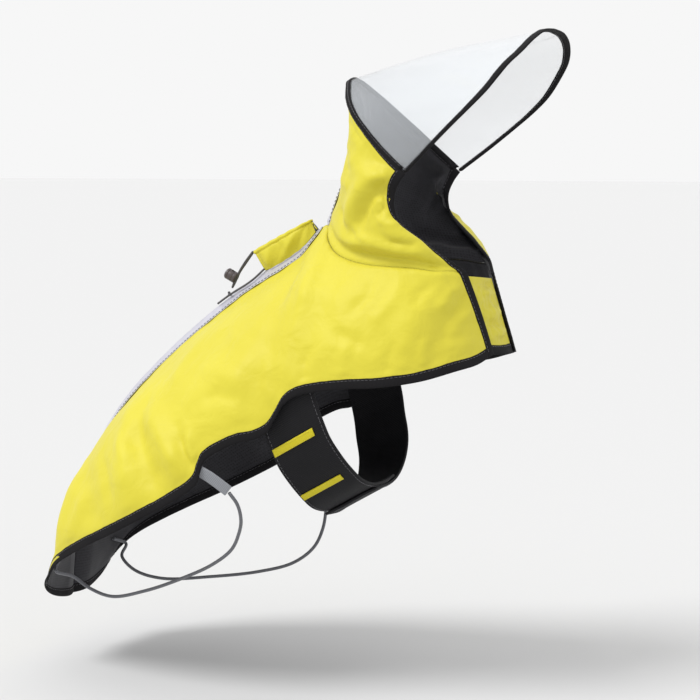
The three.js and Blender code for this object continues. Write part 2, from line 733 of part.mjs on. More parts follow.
function sleeveRing(height) {
  const steps = sleeveSteps;
  const ring = [];
  for (let step = 0; step < steps; step += 1) {
    const angle = step / steps * Math.PI * 2;
    const middle = (portBase.firstSection + portBase.lastSection) / 2;
    const reach = (portBase.lastSection - portBase.firstSection) / 2;
    const base = backPoint(middle - reach * Math.cos(angle), portBase.halfWidth * Math.sin(angle) || 1e-3);
    base.addScaledVector(portNormal, stripLift + stripWall / 2 + sleeveStand);
    const gather = 1 + rimGather.depth * Math.sin(angle * rimGather.pleats);
    const along = portRim.halfLength * Math.cos(angle);
    const rim = new THREE.Vector3(portRim.middleX, 0, portRim.middleZ);
    rim.x += along * portRim.alongX;
    rim.z += along * portRim.alongZ;
    rim.y = portRim.halfWidth * gather * Math.sin(angle);
    const point = base.lerp(rim, height);
    point.y *= 1 + sleeveBulge * Math.sin(Math.PI * height);
    ring.push(point);
  }
  return ring;
}

const sleeveGrid = spacing(5).map(sleeveRing);
const sleeveInside = new THREE.Vector3(37, 0, 36);
const sleeveSolid = clothSolid(sleeveGrid, { thickness: clothWall, inside: sleeveInside, closed: true });
addPiece('port_sleeve', sleeveSolid, finish(yellow, 0.45));

// Finds the place on the coat's body that a side view shows at x and z.
function bodyPlaceAt(side, x, z) {
  let section = 12;
  let down = 0.6;
  for (let round = 0; round < 40; round += 1) {
    const here = bodyPoint(side, section, down);
    const errorX = x - here.x;
    const errorZ = z - here.z;
    const alongSection = bodyPoint(side, section + 0.01, down).sub(here).multiplyScalar(100);
    const alongDown = bodyPoint(side, section, down - 0.001).sub(here).multiplyScalar(-1000);
    const scale = alongSection.x * alongDown.z - alongSection.z * alongDown.x;
    const stepSection = (errorX * alongDown.z - errorZ * alongDown.x) / scale;
    const stepDown = (errorZ * alongSection.x - errorX * alongSection.z) / scale;
    section = clamp(section + clamp(stepSection, -1, 1), 0, tailSection - 0.05);
    down = clamp(down + clamp(stepDown, -0.1, 0.1), 0.05, 1);
  }
  return [section, down];
}

// A point at a real depth inside the coat, behind the body's cloth.
function behindBody(side, x, z, depth) {
  const [section, down] = bodyPlaceAt(side, x, z);
  const surface = (a, b) => bodyPoint(side, clamp(a, 0, tailSection), clamp(b, 0, 1));
  const normal = normalOf(surface, clamp(section, 0.01, tailSection - 0.01), clamp(down, 0.01, 0.99));
  if (normal.y * side > 0) {
    normal.negate();
  }
  return surface(section, down).addScaledVector(normal, depth);
}

// A point behind the body's cloth at a section, at a real depth.
function insideBodyPoint(side, section, down, depth) {
  const surface = (a, b) => bodyPoint(side, clamp(a, 0, tailSection), clamp(b, 0, 1));
  const normal = normalOf(surface, Math.max(section, 0.02), clamp(down, 0.01, 0.99));
  if (normal.x > 0) {
    normal.negate();
  }
  return surface(section, down).addScaledVector(normal, depth);
}

// The gathered flap behind the front edges, bound along its own hem.
// across goes from behind the right panel, over the open front, to behind the left panel.
const flapDepth = 2.7;
const flapReach = 0.7;
const flapShown = { from: 0.3, to: 0.7 };
const flapSwell = 2.5;
const flapGather = { lift: 1.6, waves: 4.2, slant: 1.5 };
const flapTop = 0.05;

function flapPoint(across, down) {
  if (across <= flapShown.from) {
    const section = flapReach * (1 - across / flapShown.from);
    return insideBodyPoint(right, section, down, flapDepth);
  }
  if (across >= flapShown.to) {
    const section = flapReach * (across - flapShown.to) / (1 - flapShown.to);
    return insideBodyPoint(left, section, down, flapDepth);
  }
  const part = (across - flapShown.from) / (flapShown.to - flapShown.from);
  const start = insideBodyPoint(right, 0, down, flapDepth);
  const end = insideBodyPoint(left, 0, down, flapDepth);
  const point = start.lerp(end, part);
  const swell = Math.sin(Math.PI * part);
  const wave = Math.sin(down * flapGather.waves * Math.PI * 2 + part * flapGather.slant);
  point.x += swell * (flapSwell + flapGather.lift * wave);
  return point;
}

const flapBottom = (across) => insetMeasure(flapPoint, across, 1, -1, bindingWidth + seamGap);
const flapPanelPoint = (across, part) => flapPoint(across, flapTop + (flapBottom(across) - flapTop) * part);
const flapGrid = gridOf(flapPanelPoint, spacing(12), spacing(18));
const flapSolid = clothSolid(flapGrid, { thickness: clothWall, inside: insideBody });
addPiece('front_flap', flapSolid, finish(yellow, 0.5));
const flapHemRows = spacing(12).map((across) => {
  const inner = insetMeasure(flapPoint, across, 1, -1, bindingWidth);
  return [flapPoint(across, inner), flapPoint(across, 1)];
});
addBinding('flap_hem_binding', flapHemRows, insideBody);

// The belly band: one half from each flank, one row per step along its rear edge.
// most is the greatest half width, where the band leaves the coat's inside.
const bandWidth = { x: 46.8, z: 27 };
const bandRows = [
  { x: 47, z: -62, most: 96 },
  { x: 51, z: -78, most: 97 },
  { x: 56, z: -95, most: 97 },
  { x: 61, z: -112, most: 95.5 },
  { x: 66, z: -128.6, most: 92 },
  { x: 70, z: -143, most: 86.5 },
  { x: 76.5, z: -158.6, most: 77 },
  { x: 81, z: -172, most: 63.5 },
  { x: 83.5, z: -182, most: 48 },
  { x: 84.5, z: -188, most: 27 },
  { x: 85, z: -190, most: 4 },
  { x: 84.5, z: -188.5, most: -22 },
];
const bandDepth = 3.2;
const lapDrop = 3.8;
const lapStart = 7.6;
// The band's first rows lie behind the coat's cloth, where a side view finds it within this reach.
const coveredRows = 4;
const coverReach = 6;

function bandPoint(side, place, across) {
  const row = rowAt(bandRows, place);
  const x = row.x + bandWidth.x * across;
  const z = row.z + bandWidth.z * across;
  let width = row.most;
  if (place < coveredRows) {
    const cover = behindBody(side, x, z, bandDepth);
    const missed = Math.hypot(cover.x - x, cover.z - z);
    if (missed < coverReach) {
      width = Math.min(width, Math.abs(cover.y));
    }
  }
  const drop = side === left ? lapDrop * edgeFade(place - lapStart, 1.5) : 0;
  return new THREE.Vector3(x, side * width, z - drop);
}

const insideBand = new THREE.Vector3(90, 0, -110);

function addBand(side, name) {
  const places = spacing(26).map((part) => part * (bandRows.length - 1));
  const grid = gridOf((place, across) => bandPoint(side, place, across), places, spacing(3));
  const solid = clothSolid(grid, { thickness: webbingWall, inside: insideBand });
  addPiece(name, solid, finish(webbingBlack, 0.85));
}

// The left half laps under the right one below the belly, where they fasten.
addBand(right, 'belly_band_right');
addBand(left, 'belly_band_left');

const stripeRows = [
  { place: 4.12, length: 0.76 },
  { place: 6.85, length: 0.76 },
];
const stripeWall = 1;
const stripeWidth = 6.8;
const stripeStart = 0.03;
const ribbonYellow = '#e8da34';

function addStripe(side, name, { place, length }) {
  const along = bandPoint(side, place + 0.1, 0).distanceTo(bandPoint(side, place - 0.1, 0)) / 0.2;
  const places = [-0.5, 0, 0.5].map((part) => place + part * stripeWidth / along);
  const surface = (row, across) => bandPoint(side, row, stripeStart + across * length);
  const grid = gridOf(surface, places, spacing(4));
  const lift = webbingWall / 2 + seamGap + stripeWall / 2;
  const solid = clothSolid(grid, { thickness: stripeWall, inside: insideBand, lift });
  addPiece(name, solid, finish(ribbonYellow, 0.5));
}

addStripe(right, 'band_stripe_right_upper', stripeRows[0]);
addStripe(right, 'band_stripe_right_lower', stripeRows[1]);
addStripe(left, 'band_stripe_left_upper', stripeRows[0]);
addStripe(left, 'band_stripe_left_lower', stripeRows[1]);

// The elastic leg loops: a webbing tab behind the hem, then a thin elastic round to the tail.
const elasticDiameter = 3;
const tabWall = 1.6;
const tabWidth = 10;
const tabAcross = { x: 0.62, z: 0.78 };
const elasticGrey = '#55565a';
const tabGrey = '#8e9094';
const cordGrey = '#3a3a3e';
const legLoops = {
  right: [
    { x: 31.7, w: 102.4, z: -163.4 },
    { x: 36, w: 96, z: -174 },
    { x: 35.5, w: 88, z: -188.6 },
    { x: 30.8, w: 82, z: -201 },
    { x: 21, w: 76, z: -217 },
    { x: 0, w: 70, z: -233 },
    { x: -34, w: 62, z: -250 },
    { x: -76, w: 52, z: -267 },
    { x: -114, w: 44, z: -277 },
    { x: -137, w: 42, z: -272 },
    { x: -152, w: 45, z: -262 },
  ],
  left: [
    { x: 31.7, w: 102.4, z: -163.4 },
    { x: 38, w: 98, z: -180 },
    { x: 38, w: 92, z: -204 },
    { x: 37, w: 85, z: -228 },
    { x: 31, w: 77, z: -245 },
    { x: 14, w: 69, z: -259 },
    { x: -16, w: 61, z: -268 },
    { x: -62, w: 52, z: -275 },
    { x: -110, w: 44, z: -279 },
    { x: -137, w: 42, z: -273 },
    { x: -152, w: 45, z: -262 },
  ],
};

function tube(points, diameter, steps, sides) {
  const path = new THREE.CatmullRomCurve3(points, false, 'centripetal');
  const shape = new THREE.Shape();
  for (let side = 0; side < sides; side += 1) {
    const angle = side / sides * Math.PI * 2;
    const x = diameter / 2 * Math.cos(angle);
    const y = diameter / 2 * Math.sin(angle);
    if (side === 0) {
      shape.moveTo(x, y);
    } else {
      shape.lineTo(x, y);
    }
  }
  shape.closePath();
  return new THREE.ExtrudeGeometry(shape, { steps, extrudePath: path, bevelEnabled: false });
}

function addLegLoop(side, name, tabName, rows) {
  const points = rows.map((row) => new THREE.Vector3(row.x, side * row.w, row.z));
  points.push(behindBody(side, -163, -252, 5.5));
  points.push(behindBody(side, -166, -246, 2.5));
  addPiece(name, tube(points, elasticDiameter, 44, 8), finish(elasticGrey, 0.8));
  const tabMiddles = [behindBody(side, -4, -133, 4), behindBody(side, 6, -141, 4.4)];
  tabMiddles.push(new THREE.Vector3(17, side * 108, -150.5), new THREE.Vector3(31.2, side * 102.6, -162));
  const across = new THREE.Vector3(tabAcross.x, 0, tabAcross.z).multiplyScalar(tabWidth);
  const edges = (middle) => [-0.5, 0.5].map((part) => middle.clone().addScaledVector(across, part));
  const grid = tabMiddles.map(edges);
  addPiece(tabName, clothSolid(grid, { thickness: tabWall, inside: insideBody }), finish(tabGrey, 0.8));
}

addLegLoop(right, 'leg_elastic_right', 'leg_tab_right', legLoops.right);
addLegLoop(left, 'leg_elastic_left', 'leg_tab_left', legLoops.left);

// The port's drawcord: a loop from the sleeve's rear tip, down through the cord lock and back.
const cordDiameter = 1.8;
const lock = {
  x: -7.8,
  y: -3,
  z: 7.6,
  tilt: 62.6,
  radius: 5,
  length: 10,
  bore: 7,
  holeWidth: 4.7,
  holeHeight: 2.9,
};
const cordSpread = 1;
const nearRun = lock.y - cordSpread;
const farRun = lock.y + cordSpread;

const drawcordPoints = [
  [7.4, 1.2, 31.4],
  [0.5, 0, 21.5],
  [-4.6, farRun, 13.4],
  [-7.8, farRun, 7.2],
  [-10.2, farRun, 2.6],
  [-11.7, lock.y, -0.4],
  [-10.2, nearRun, 2.6],
  [-7.8, nearRun, 7.2],
  [-4.6, nearRun, 13.4],
  [0.5, -3.6, 21.5],
  [7.4, -1.2, 31.4],
].map((point) => new THREE.Vector3(...point));
addPiece('drawcord', tube(drawcordPoints, cordDiameter, 30, 8), finish(cordGrey, 0.8));

// The cord lock: a barrel with a cross hole for the cord and a bore that holds the push button.
function latheSolid(profile, segments) {
  const points = profile.map(([radius, height]) => new THREE.Vector2(radius, height));
  const geometry = new THREE.LatheGeometry(points, segments);
  geometry.rotateX(Math.PI / 2);
  return geometry;
}

function placeLockPiece(geometry) {
  // The barrel's axis points up and back, towards the button.
  geometry.rotateY(-THREE.MathUtils.degToRad(lock.tilt));
  geometry.translate(lock.x, lock.y, lock.z);
  return geometry;
}

const barrelProfile = [
  [0, -lock.length / 2],
  [lock.radius - 0.8, -lock.length / 2],
  [lock.radius, -lock.length / 2 + 0.8],
  [lock.radius, lock.length / 2 - 0.6],
  [lock.radius - 0.6, lock.length / 2],
  [lock.bore / 2, lock.length / 2],
  [lock.bore / 2, -lock.length / 2 + 1.4],
  [0, -lock.length / 2 + 1.4],
];
const buttonRadius = lock.bore / 2 - seamGap;
const buttonProfile = [
  [0, -lock.length / 2 + 2.2],
  [buttonRadius, -lock.length / 2 + 2.2],
  [buttonRadius, lock.length / 2 + 0.5],
  [buttonRadius + 0.9, lock.length / 2 + 0.9],
  [buttonRadius + 0.9, lock.length / 2 + 2.6],
  [buttonRadius - 0.2, lock.length / 2 + 3.4],
  [0, lock.length / 2 + 3.4],
];

function crossHole() {
  const shape = new THREE.Shape();
  shape.absellipse(0, 0, lock.holeHeight / 2, lock.holeWidth / 2, 0, Math.PI * 2);
  const hole = new THREE.ExtrudeGeometry(shape, { depth: 20, bevelEnabled: false, curveSegments: 8 });
  hole.translate(0, 0, -10);
  hole.rotateY(Math.PI / 2);
  return toSolid(placeLockPiece(hole));
}

const cordHole = crossHole();
const barrel = toSolid(placeLockPiece(latheSolid(barrelProfile, 16))).subtract(cordHole);
addPiece('cord_lock_barrel', fromSolid(barrel), finish('#5a5052', 0.4));
const button = toSolid(placeLockPiece(latheSolid(buttonProfile, 16))).subtract(cordHole);
addPiece('cord_lock_button', fromSolid(button), finish('#8a8a8a', 0.4));

// The cord's free end comes out behind the sleeve's base and lies on the strip, with one knot.
const tailSpots = [
  { section: 11.85, sideways: -0.5 },
  { section: 12.35, sideways: -5 },
  { section: 12.8, sideways: -6 },
  { section: 13.3, sideways: -4 },
  { section: 13.75, sideways: -2 },
  { section: 14.2, sideways: -1 },
];
const tailLift = stripLift + stripWall / 2 + cordDiameter / 2 + 0.6;
const knotPlace = 0.73;

function aboveBack(section, sideways, lift) {
  const ahead = backPoint(section - 0.2, sideways);
  const behind = backPoint(section + 0.2, sideways);
  const outward = backPoint(section, sideways + 0.5).sub(backPoint(section, sideways - 0.5));
  const normal = behind.sub(ahead).cross(outward).normalize();
  if (normal.z < 0) {
    normal.negate();
  }
  return backPoint(section, sideways).addScaledVector(normal, lift);
}

const tailPoints = tailSpots.map((spot) => aboveBack(spot.section, spot.sideways, tailLift));
const tailPath = new THREE.CatmullRomCurve3(tailPoints, false, 'centripetal');
const knotRadius = 1.9;

function tailPiece(from, to, steps) {
  const points = spacing(8).map((part) => tailPath.getPointAt(from + (to - from) * part));
  return tube(points, cordDiameter, steps, 8);
}

const knotHalf = (knotRadius + seamGap) / tailPath.getLength();
addPiece('cord_tail', tailPiece(0, knotPlace - knotHalf, 18), finish(cordGrey, 0.8));
addPiece('cord_tail_end', tailPiece(knotPlace + knotHalf, 1, 6), finish(cordGrey, 0.8));
const knot = new THREE.SphereGeometry(knotRadius, 10, 8);
const knotMiddle = tailPath.getPointAt(knotPlace).addScaledVector(portNormal, 0.7);
knot.translate(knotMiddle.x, knotMiddle.y, knotMiddle.z);
addPiece('cord_tail_knot', knot, finish('#4a3f38', 0.8));

export default coat;
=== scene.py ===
import math
import random
import bpy
import numpy as np
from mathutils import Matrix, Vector, noise


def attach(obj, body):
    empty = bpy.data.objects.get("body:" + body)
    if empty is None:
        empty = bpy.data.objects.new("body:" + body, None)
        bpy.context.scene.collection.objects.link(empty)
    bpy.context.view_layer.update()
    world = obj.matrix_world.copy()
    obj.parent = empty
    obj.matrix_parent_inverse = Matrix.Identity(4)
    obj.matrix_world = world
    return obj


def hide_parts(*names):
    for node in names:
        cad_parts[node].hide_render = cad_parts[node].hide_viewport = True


# A hooded raincoat, worn and hollow. All tables are in millimetres,
# +X is the way the wearer faces and +Z is up, and meshes are written in metres.

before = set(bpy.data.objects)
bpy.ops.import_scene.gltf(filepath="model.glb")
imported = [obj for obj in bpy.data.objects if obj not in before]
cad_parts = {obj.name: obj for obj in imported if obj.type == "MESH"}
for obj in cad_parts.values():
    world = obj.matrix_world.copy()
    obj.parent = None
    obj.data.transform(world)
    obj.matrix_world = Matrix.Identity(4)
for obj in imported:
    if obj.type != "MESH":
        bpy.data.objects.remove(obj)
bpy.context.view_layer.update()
random.seed(11)

mm = 0.001
rightSide = -1
leftSide = 1

# Camera, floor and light.

studio = {
    "cameraPlace": (0.694435, -1.475367, 0.115576),
    "cameraTarget": (0.098348, 0.0, -0.051670),
    "lens": 95.68,
    "floorHeight": -0.345,
    "floorColour": "#cdcdcd",
    "worldStrength": 0.93,
    "keyStrength": 2.0,
    "keyAngle": 24,
    "fillPower": 2.0,
}


def linearColour(hexColour):
    values = []
    for start in (1, 3, 5):
        value = int(hexColour[start:start + 2], 16) / 255
        values.append(value / 12.92 if value <= 0.04045 else ((value + 0.055) / 1.055) ** 2.4)
    return (*values, 1.0)


def aimAt(thing, target):
    direction = Vector(target) - thing.location
    thing.rotation_euler = direction.to_track_quat("-Z", "Y").to_euler()


def addCamera():
    bpy.ops.object.camera_add(location=studio["cameraPlace"])
    camera = bpy.context.object
    aimAt(camera, studio["cameraTarget"])
    camera.data.sensor_width = 36
    camera.data.lens = studio["lens"]
    camera.data.clip_start = 0.05
    bpy.context.scene.camera = camera


def addStudio():
    bpy.ops.object.select_all(action="DESELECT")
    bpy.ops.mesh.primitive_plane_add(size=60, location=(0, 0, studio["floorHeight"]))
    floor = bpy.context.object
    floor.name = "studioFloor"
    floor.data.materials.append(newMaterial("matt floor paper", studio["floorColour"], 0.95)[0])
    world = bpy.data.worlds.new("softStudio")
    bpy.context.scene.world = world
    world.use_nodes = True
    background = world.node_tree.nodes["Background"]
    background.inputs["Color"].default_value = (1.0, 1.0, 1.0, 1.0)
    background.inputs["Strength"].default_value = studio["worldStrength"]
    bpy.ops.object.light_add(type="SUN", location=(-1.2, -1.6, 2.6))
    key = bpy.context.object
    aimAt(key, (0.1, 0, -0.05))
    key.data.energy = studio["keyStrength"]
    key.data.angle = math.radians(studio["keyAngle"])
    bpy.ops.object.light_add(type="AREA", location=(1.5, -0.9, 0.9))
    fill = bpy.context.object
    aimAt(fill, (0.1, 0, 0.0))
    fill.data.energy = studio["fillPower"]
    fill.data.size = 0.9
    bpy.context.scene.view_settings.view_transform = "Standard"


# Materials.

def addNode(tree, kind, inputs, **settings):
    node = tree.nodes.new(kind)
    for key, value in settings.items():
        setattr(node, key, value)
    for key, value in inputs.items():
        if isinstance(value, bpy.types.NodeSocket):
            tree.links.new(value, node.inputs[key])
        else:
            node.inputs[key].default_value = value
    return node


def newMaterial(name, colour, roughness, **sockets):
    material = bpy.data.materials.new(name)
    material.use_nodes = True
    shader = material.node_tree.nodes["Principled BSDF"]
    shader.inputs["Base Color"].default_value = linearColour(colour)
    shader.inputs["Roughness"].default_value = roughness
    for key, value in sockets.items():
        shader.inputs[key.replace("_", " ")].default_value = value
    return material, material.node_tree, shader


def objectNoise(tree, place, scale, detail, **inputs):
    return addNode(tree, "ShaderNodeTexNoise", {"Vector": place.outputs["Object"], "Scale": scale, "Detail": detail,
                                                **inputs})


def mixColours(tree, shader, factor, first, second):
    mix = addNode(tree, "ShaderNodeMix", {0: factor, 6: linearColour(first), 7: linearColour(second)},
                  data_type="RGBA")
    tree.links.new(mix.outputs[2], shader.inputs["Base Color"])


def addBumps(tree, shader, *bumps):
    # Each bump is a height, a strength and a distance in metres, the coarsest first.
    normal = {}
    for height, strength, distance in bumps:
        bump = addNode(tree, "ShaderNodeBump", {"Height": height, "Strength": strength, "Distance": distance,
                                                **normal})
        normal = {"Normal": bump.outputs["Normal"]}
    tree.links.new(normal["Normal"], shader.inputs["Normal"])


def coatedCloth():
    # PU-coated polyester: a close smooth face with a low even shine and soft crumples.
    material, tree, shader = newMaterial("coated polyester", "#ccc133", 0.55, Specular_IOR_Level=0.35,
                                         Sheen_Weight=0.08, Sheen_Roughness=0.5)
    place = addNode(tree, "ShaderNodeTexCoord", {})
    tint = objectNoise(tree, place, 14.0, 3.0)
    mixColours(tree, shader, tint.outputs["Fac"], "#c5b92b", "#d2c83a")
    gloss = addNode(tree, "ShaderNodeMapRange", {"Value": tint.outputs["Fac"], "To Min": 0.48, "To Max": 0.62})
    tree.links.new(gloss.outputs["Result"], shader.inputs["Roughness"])
    # Thread spacing is 0.25 mm in the real cloth; 1.4 mm is drawn so that it shows.
    warp, weft = [addNode(tree, "ShaderNodeTexWave", {"Vector": place.outputs["UV"], "Scale": 225.0},
                          bands_direction=axis) for axis in "XY"]
    weave = addNode(tree, "ShaderNodeMath", {0: warp.outputs["Fac"], 1: weft.outputs["Fac"]}, operation="MULTIPLY")
    crumple = objectNoise(tree, place, 46.0, 4.0, Roughness=0.45, Distortion=0.6)
    addBumps(tree, shader, (crumple.outputs["Fac"], 0.35, 0.005), (weave.outputs["Value"], 0.1, 0.0002))
    return material


def knitLining():
    # Warp-knitted polyester lining: dull charcoal with small dark holes in rows.
    material, tree, shader = newMaterial("knitted lining", "#26252a", 0.85, Sheen_Weight=0.2)
    place = addNode(tree, "ShaderNodeTexCoord", {})
    cells = addNode(tree, "ShaderNodeTexVoronoi", {"Vector": place.outputs["UV"], "Scale": 420.0,
                                                   "Randomness": 0.25})
    colours = addNode(tree, "ShaderNodeValToRGB", {"Fac": cells.outputs["Distance"]})
    dark, light = colours.color_ramp.elements
    dark.color, dark.position = linearColour("#0e0e10"), 0.12
    light.color, light.position = linearColour("#2b2a2f"), 0.4
    tree.links.new(colours.outputs["Color"], shader.inputs["Base Color"])
    addBumps(tree, shader, (cells.outputs["Distance"], 0.35, 0.0004))
    return material


def wovenTape(name, colour, lighter, ribPitch, roughness):
    # Woven narrow tape: close ribs across its length and a dry, slightly fuzzy face.
    material, tree, shader = newMaterial(name, colour, roughness, Specular_IOR_Level=0.22)
    place = addNode(tree, "ShaderNodeTexCoord", {})
    ribs = addNode(tree, "ShaderNodeTexWave", {"Vector": place.outputs["UV"], "Scale": 0.314 / ribPitch,
                                               "Distortion": 0.6, "Detail": 1.0}, bands_direction="X")
    fuzz = objectNoise(tree, place, 420.0, 3.0)
    patch = objectNoise(tree, place, 40.0, 2.0)
    mixed = addNode(tree, "ShaderNodeMath", {0: ribs.outputs["Fac"], 1: patch.outputs["Fac"]}, operation="MULTIPLY")
    mixColours(tree, shader, mixed.outputs["Value"], colour, lighter)
    addBumps(tree, shader, (ribs.outputs["Fac"], 0.5, 0.0003), (fuzz.outputs["Fac"], 0.25, 0.0003))
    return material


def reflectiveFilm():
    # Glass-bead reflective tape: an even silver grey that turns light in every direction.
    material, tree, shader = newMaterial("glass bead reflective tape", "#b9b8c2", 0.45, Metallic=0.25,
                                         Coat_Weight=0.2, Coat_Roughness=0.3)
    place = addNode(tree, "ShaderNodeTexCoord", {})
    beads = addNode(tree, "ShaderNodeTexVoronoi", {"Vector": place.outputs["UV"], "Scale": 900.0})
    creases = objectNoise(tree, place, 90.0, 3.0, Distortion=1.0)
    mixColours(tree, shader, creases.outputs["Fac"], "#aeadb8", "#c9c8d1")
    addBumps(tree, shader, (creases.outputs["Fac"], 0.3, 0.001), (beads.outputs["Distance"], 0.15, 0.0002))
    return material


def clearFilm():
    # Calendered soft PVC: clear, glossy and slightly wavy, with a cool cast.
    material, tree, shader = newMaterial("clear pvc film", "#e6ebf0", 0.06, IOR=1.53, Alpha=0.2,
                                         Coat_Weight=1.0, Coat_Roughness=0.03)
    place = addNode(tree, "ShaderNodeTexCoord", {})
    waves = objectNoise(tree, place, 22.0, 2.0, Distortion=0.8)
    addBumps(tree, shader, (waves.outputs["Fac"], 0.35, 0.006))
    return material


def braidedCord(name, colour, lighter, pitch):
    # Braided polyester over a core: crossing strands in two spirals.
    material, tree, shader = newMaterial(name, colour, 0.7, Sheen_Weight=0.3)
    place = addNode(tree, "ShaderNodeTexCoord", {})
    strands = []
    for turn in (38, -38):
        turned = addNode(tree, "ShaderNodeMapping", {"Vector": place.outputs["UV"],
                                                     "Rotation": (0, 0, math.radians(turn))})
        strands.append(addNode(tree, "ShaderNodeTexWave", {"Vector": turned.outputs["Vector"],
                                                           "Scale": 0.314 / pitch}))
    braid = addNode(tree, "ShaderNodeMath", {0: strands[0].outputs["Fac"], 1: strands[1].outputs["Fac"]},
                    operation="MAXIMUM")
    mixColours(tree, shader, braid.outputs["Value"], colour, lighter)
    addBumps(tree, shader, (braid.outputs["Value"], 0.6, 0.0003))
    return material


def mouldedPlastic(name, colour, roughness):
    # Injection-moulded acetal: satin, with a faint spark-eroded grain.
    material, tree, shader = newMaterial(name, colour, roughness, IOR=1.48)
    place = addNode(tree, "ShaderNodeTexCoord", {})
    grain = objectNoise(tree, place, 900.0, 2.0)
    rough = addNode(tree, "ShaderNodeMapRange", {"Value": grain.outputs["Fac"], "To Min": roughness - 0.06,
                                                 "To Max": roughness + 0.1})
    tree.links.new(rough.outputs["Result"], shader.inputs["Roughness"])
    addBumps(tree, shader, (grain.outputs["Fac"], 0.12, 0.0002))
    return material


addCamera()
addStudio()
finishes = {
    "cloth": coatedCloth(),
    "lining": knitLining(),
    "binding": wovenTape("polyester binding tape", "#0e0d0f", "#1c1a1d", 0.0011, 0.8),
    "webbing": wovenTape("nylon webbing", "#0e0e10", "#1f1e22", 0.0016, 0.65),
    "stripe": wovenTape("woven yellow ribbon", "#c9bb22", "#d6ca34", 0.0012, 0.5),
    "tab": wovenTape("grey woven tape", "#7f8186", "#a3a5a9", 0.0014, 0.7),
    "reflective": reflectiveFilm(),
    "film": clearFilm(),
    "elastic": braidedCord("braided elastic", "#47484d", "#6c6d72", 0.0014),
    "cord": braidedCord("braided polyester cord", "#2c2b30", "#4d4b50", 0.001),
    "barrel": mouldedPlastic("moulded acetal", "#4a4244", 0.34),
    "button": mouldedPlastic("moulded grey acetal", "#8b8a8a", 0.38),
    "darkThread": newMaterial("spun polyester thread", "#4b484f", 0.6, Sheen_Weight=0.3)[0],
    "blackThread": newMaterial("black polyester thread", "#3d3b40", 0.55, Sheen_Weight=0.3)[0],
    "yellowThread": newMaterial("yellow polyester thread", "#d9c92c", 0.5, Sheen_Weight=0.3)[0],
}
print("camera, light and materials ready")

# Cords follow the same points as the part's solids.

legLoops = {
    "diameter": 3.0,
    "right": [(31.7, -102.4, -163.4), (36, -96, -174), (35.5, -88, -188.6), (30.8, -82, -201), (21, -76, -217),
              (0, -70, -233), (-34, -62, -250), (-76, -52, -267), (-114, -44, -277), (-137, -42, -272),
              (-152, -45, -262), (-158.2, -64.2, -253.5), (-163.6, -49.9, -246.5)],
    "left": [(31.7, 102.4, -163.4), (38, 98, -180), (38, 92, -204), (37, 85, -228), (31, 77, -245), (14, 69, -259),
             (-16, 61, -268), (-62, 52, -275), (-110, 44, -279), (-137, 42, -273), (-152, 45, -262),
             (-158.2, 64.1, -253.6), (-163.6, 49.5, -246.5)],
}
portCord = {
    "diameter": 1.8,
    "loop": [(7.4, 1.2, 31.4), (0.5, 0, 21.5), (-4.6, -2, 13.4), (-7.8, -2, 7.2), (-10.2, -2, 2.6), (-11.7, -3, -0.4),
             (-10.2, -4, 2.6), (-7.8, -4, 7.2), (-4.6, -4, 13.4), (0.5, -3.6, 21.5), (7.4, -1.2, 31.4)],
    "tail": [(19.4, -3.15, 16.65), (11.22, -6.45, 8.38), (3.5, -7.2, 2.76), (-6.56, -5.69, -2.83),
             (-16.17, -4.18, -8.56), (-25.89, -3.42, -15.17)],
    "knot": (-13.66, -4.58, -6.18),
    "knotRadius": 1.9,
}


def curveThrough(points, count):
    # The same centripetal curve as the solids follow.
    points = np.array(points, float)
    steps = np.sqrt(np.linalg.norm(np.diff(points, axis=0), axis=1))
    knots = np.concatenate([[0], np.cumsum(steps)])
    padded = np.vstack([2 * points[0] - points[1], points, 2 * points[-1] - points[-2]])
    knots = np.concatenate([[-steps[0]], knots, [knots[-1] + steps[-1]]])
    result = []
    for place in np.linspace(knots[1], knots[-2], count):
        index = min(max(int(np.searchsorted(knots, place, side="right")) - 1, 1), len(points) - 1)
        k0, k1, k2, k3 = knots[index - 1:index + 3]
        p0, p1, p2, p3 = padded[index - 1:index + 3]
        a1 = (k1 - place) / (k1 - k0) * p0 + (place - k0) / (k1 - k0) * p1
        a2 = (k2 - place) / (k2 - k1) * p1 + (place - k1) / (k2 - k1) * p2
        a3 = (k3 - place) / (k3 - k2) * p2 + (place - k2) / (k3 - k2) * p3
        b1 = (k2 - place) / (k2 - k0) * a1 + (place - k0) / (k2 - k0) * a2
        b2 = (k3 - place) / (k3 - k1) * a2 + (place - k1) / (k3 - k1) * a3
        result.append((k2 - place) / (k2 - k1) * b1 + (place - k1) / (k2 - k1) * b2)
    return np.array(result)


def lengthAlong(points):
    steps = np.linalg.norm(np.diff(points, axis=0), axis=-1)
    return np.concatenate([[0], np.cumsum(steps)])


def meshPiece(name, points, faces, faceUvs, finish):
    mesh = bpy.data.meshes.new(name)
    mesh.from_pydata((np.asarray(points) * mm).tolist(), [], faces)
    uvs = mesh.uv_layers.new(name="cut")
    uvs.data.foreach_set("uv", np.asarray(faceUvs, float).ravel())
    mesh.materials.append(finishes[finish])
    mesh.polygons.foreach_set("use_smooth", [True] * len(mesh.polygons))
    piece = bpy.data.objects.new(name, mesh)
    bpy.context.collection.objects.link(piece)
    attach(piece, "root")
    return piece


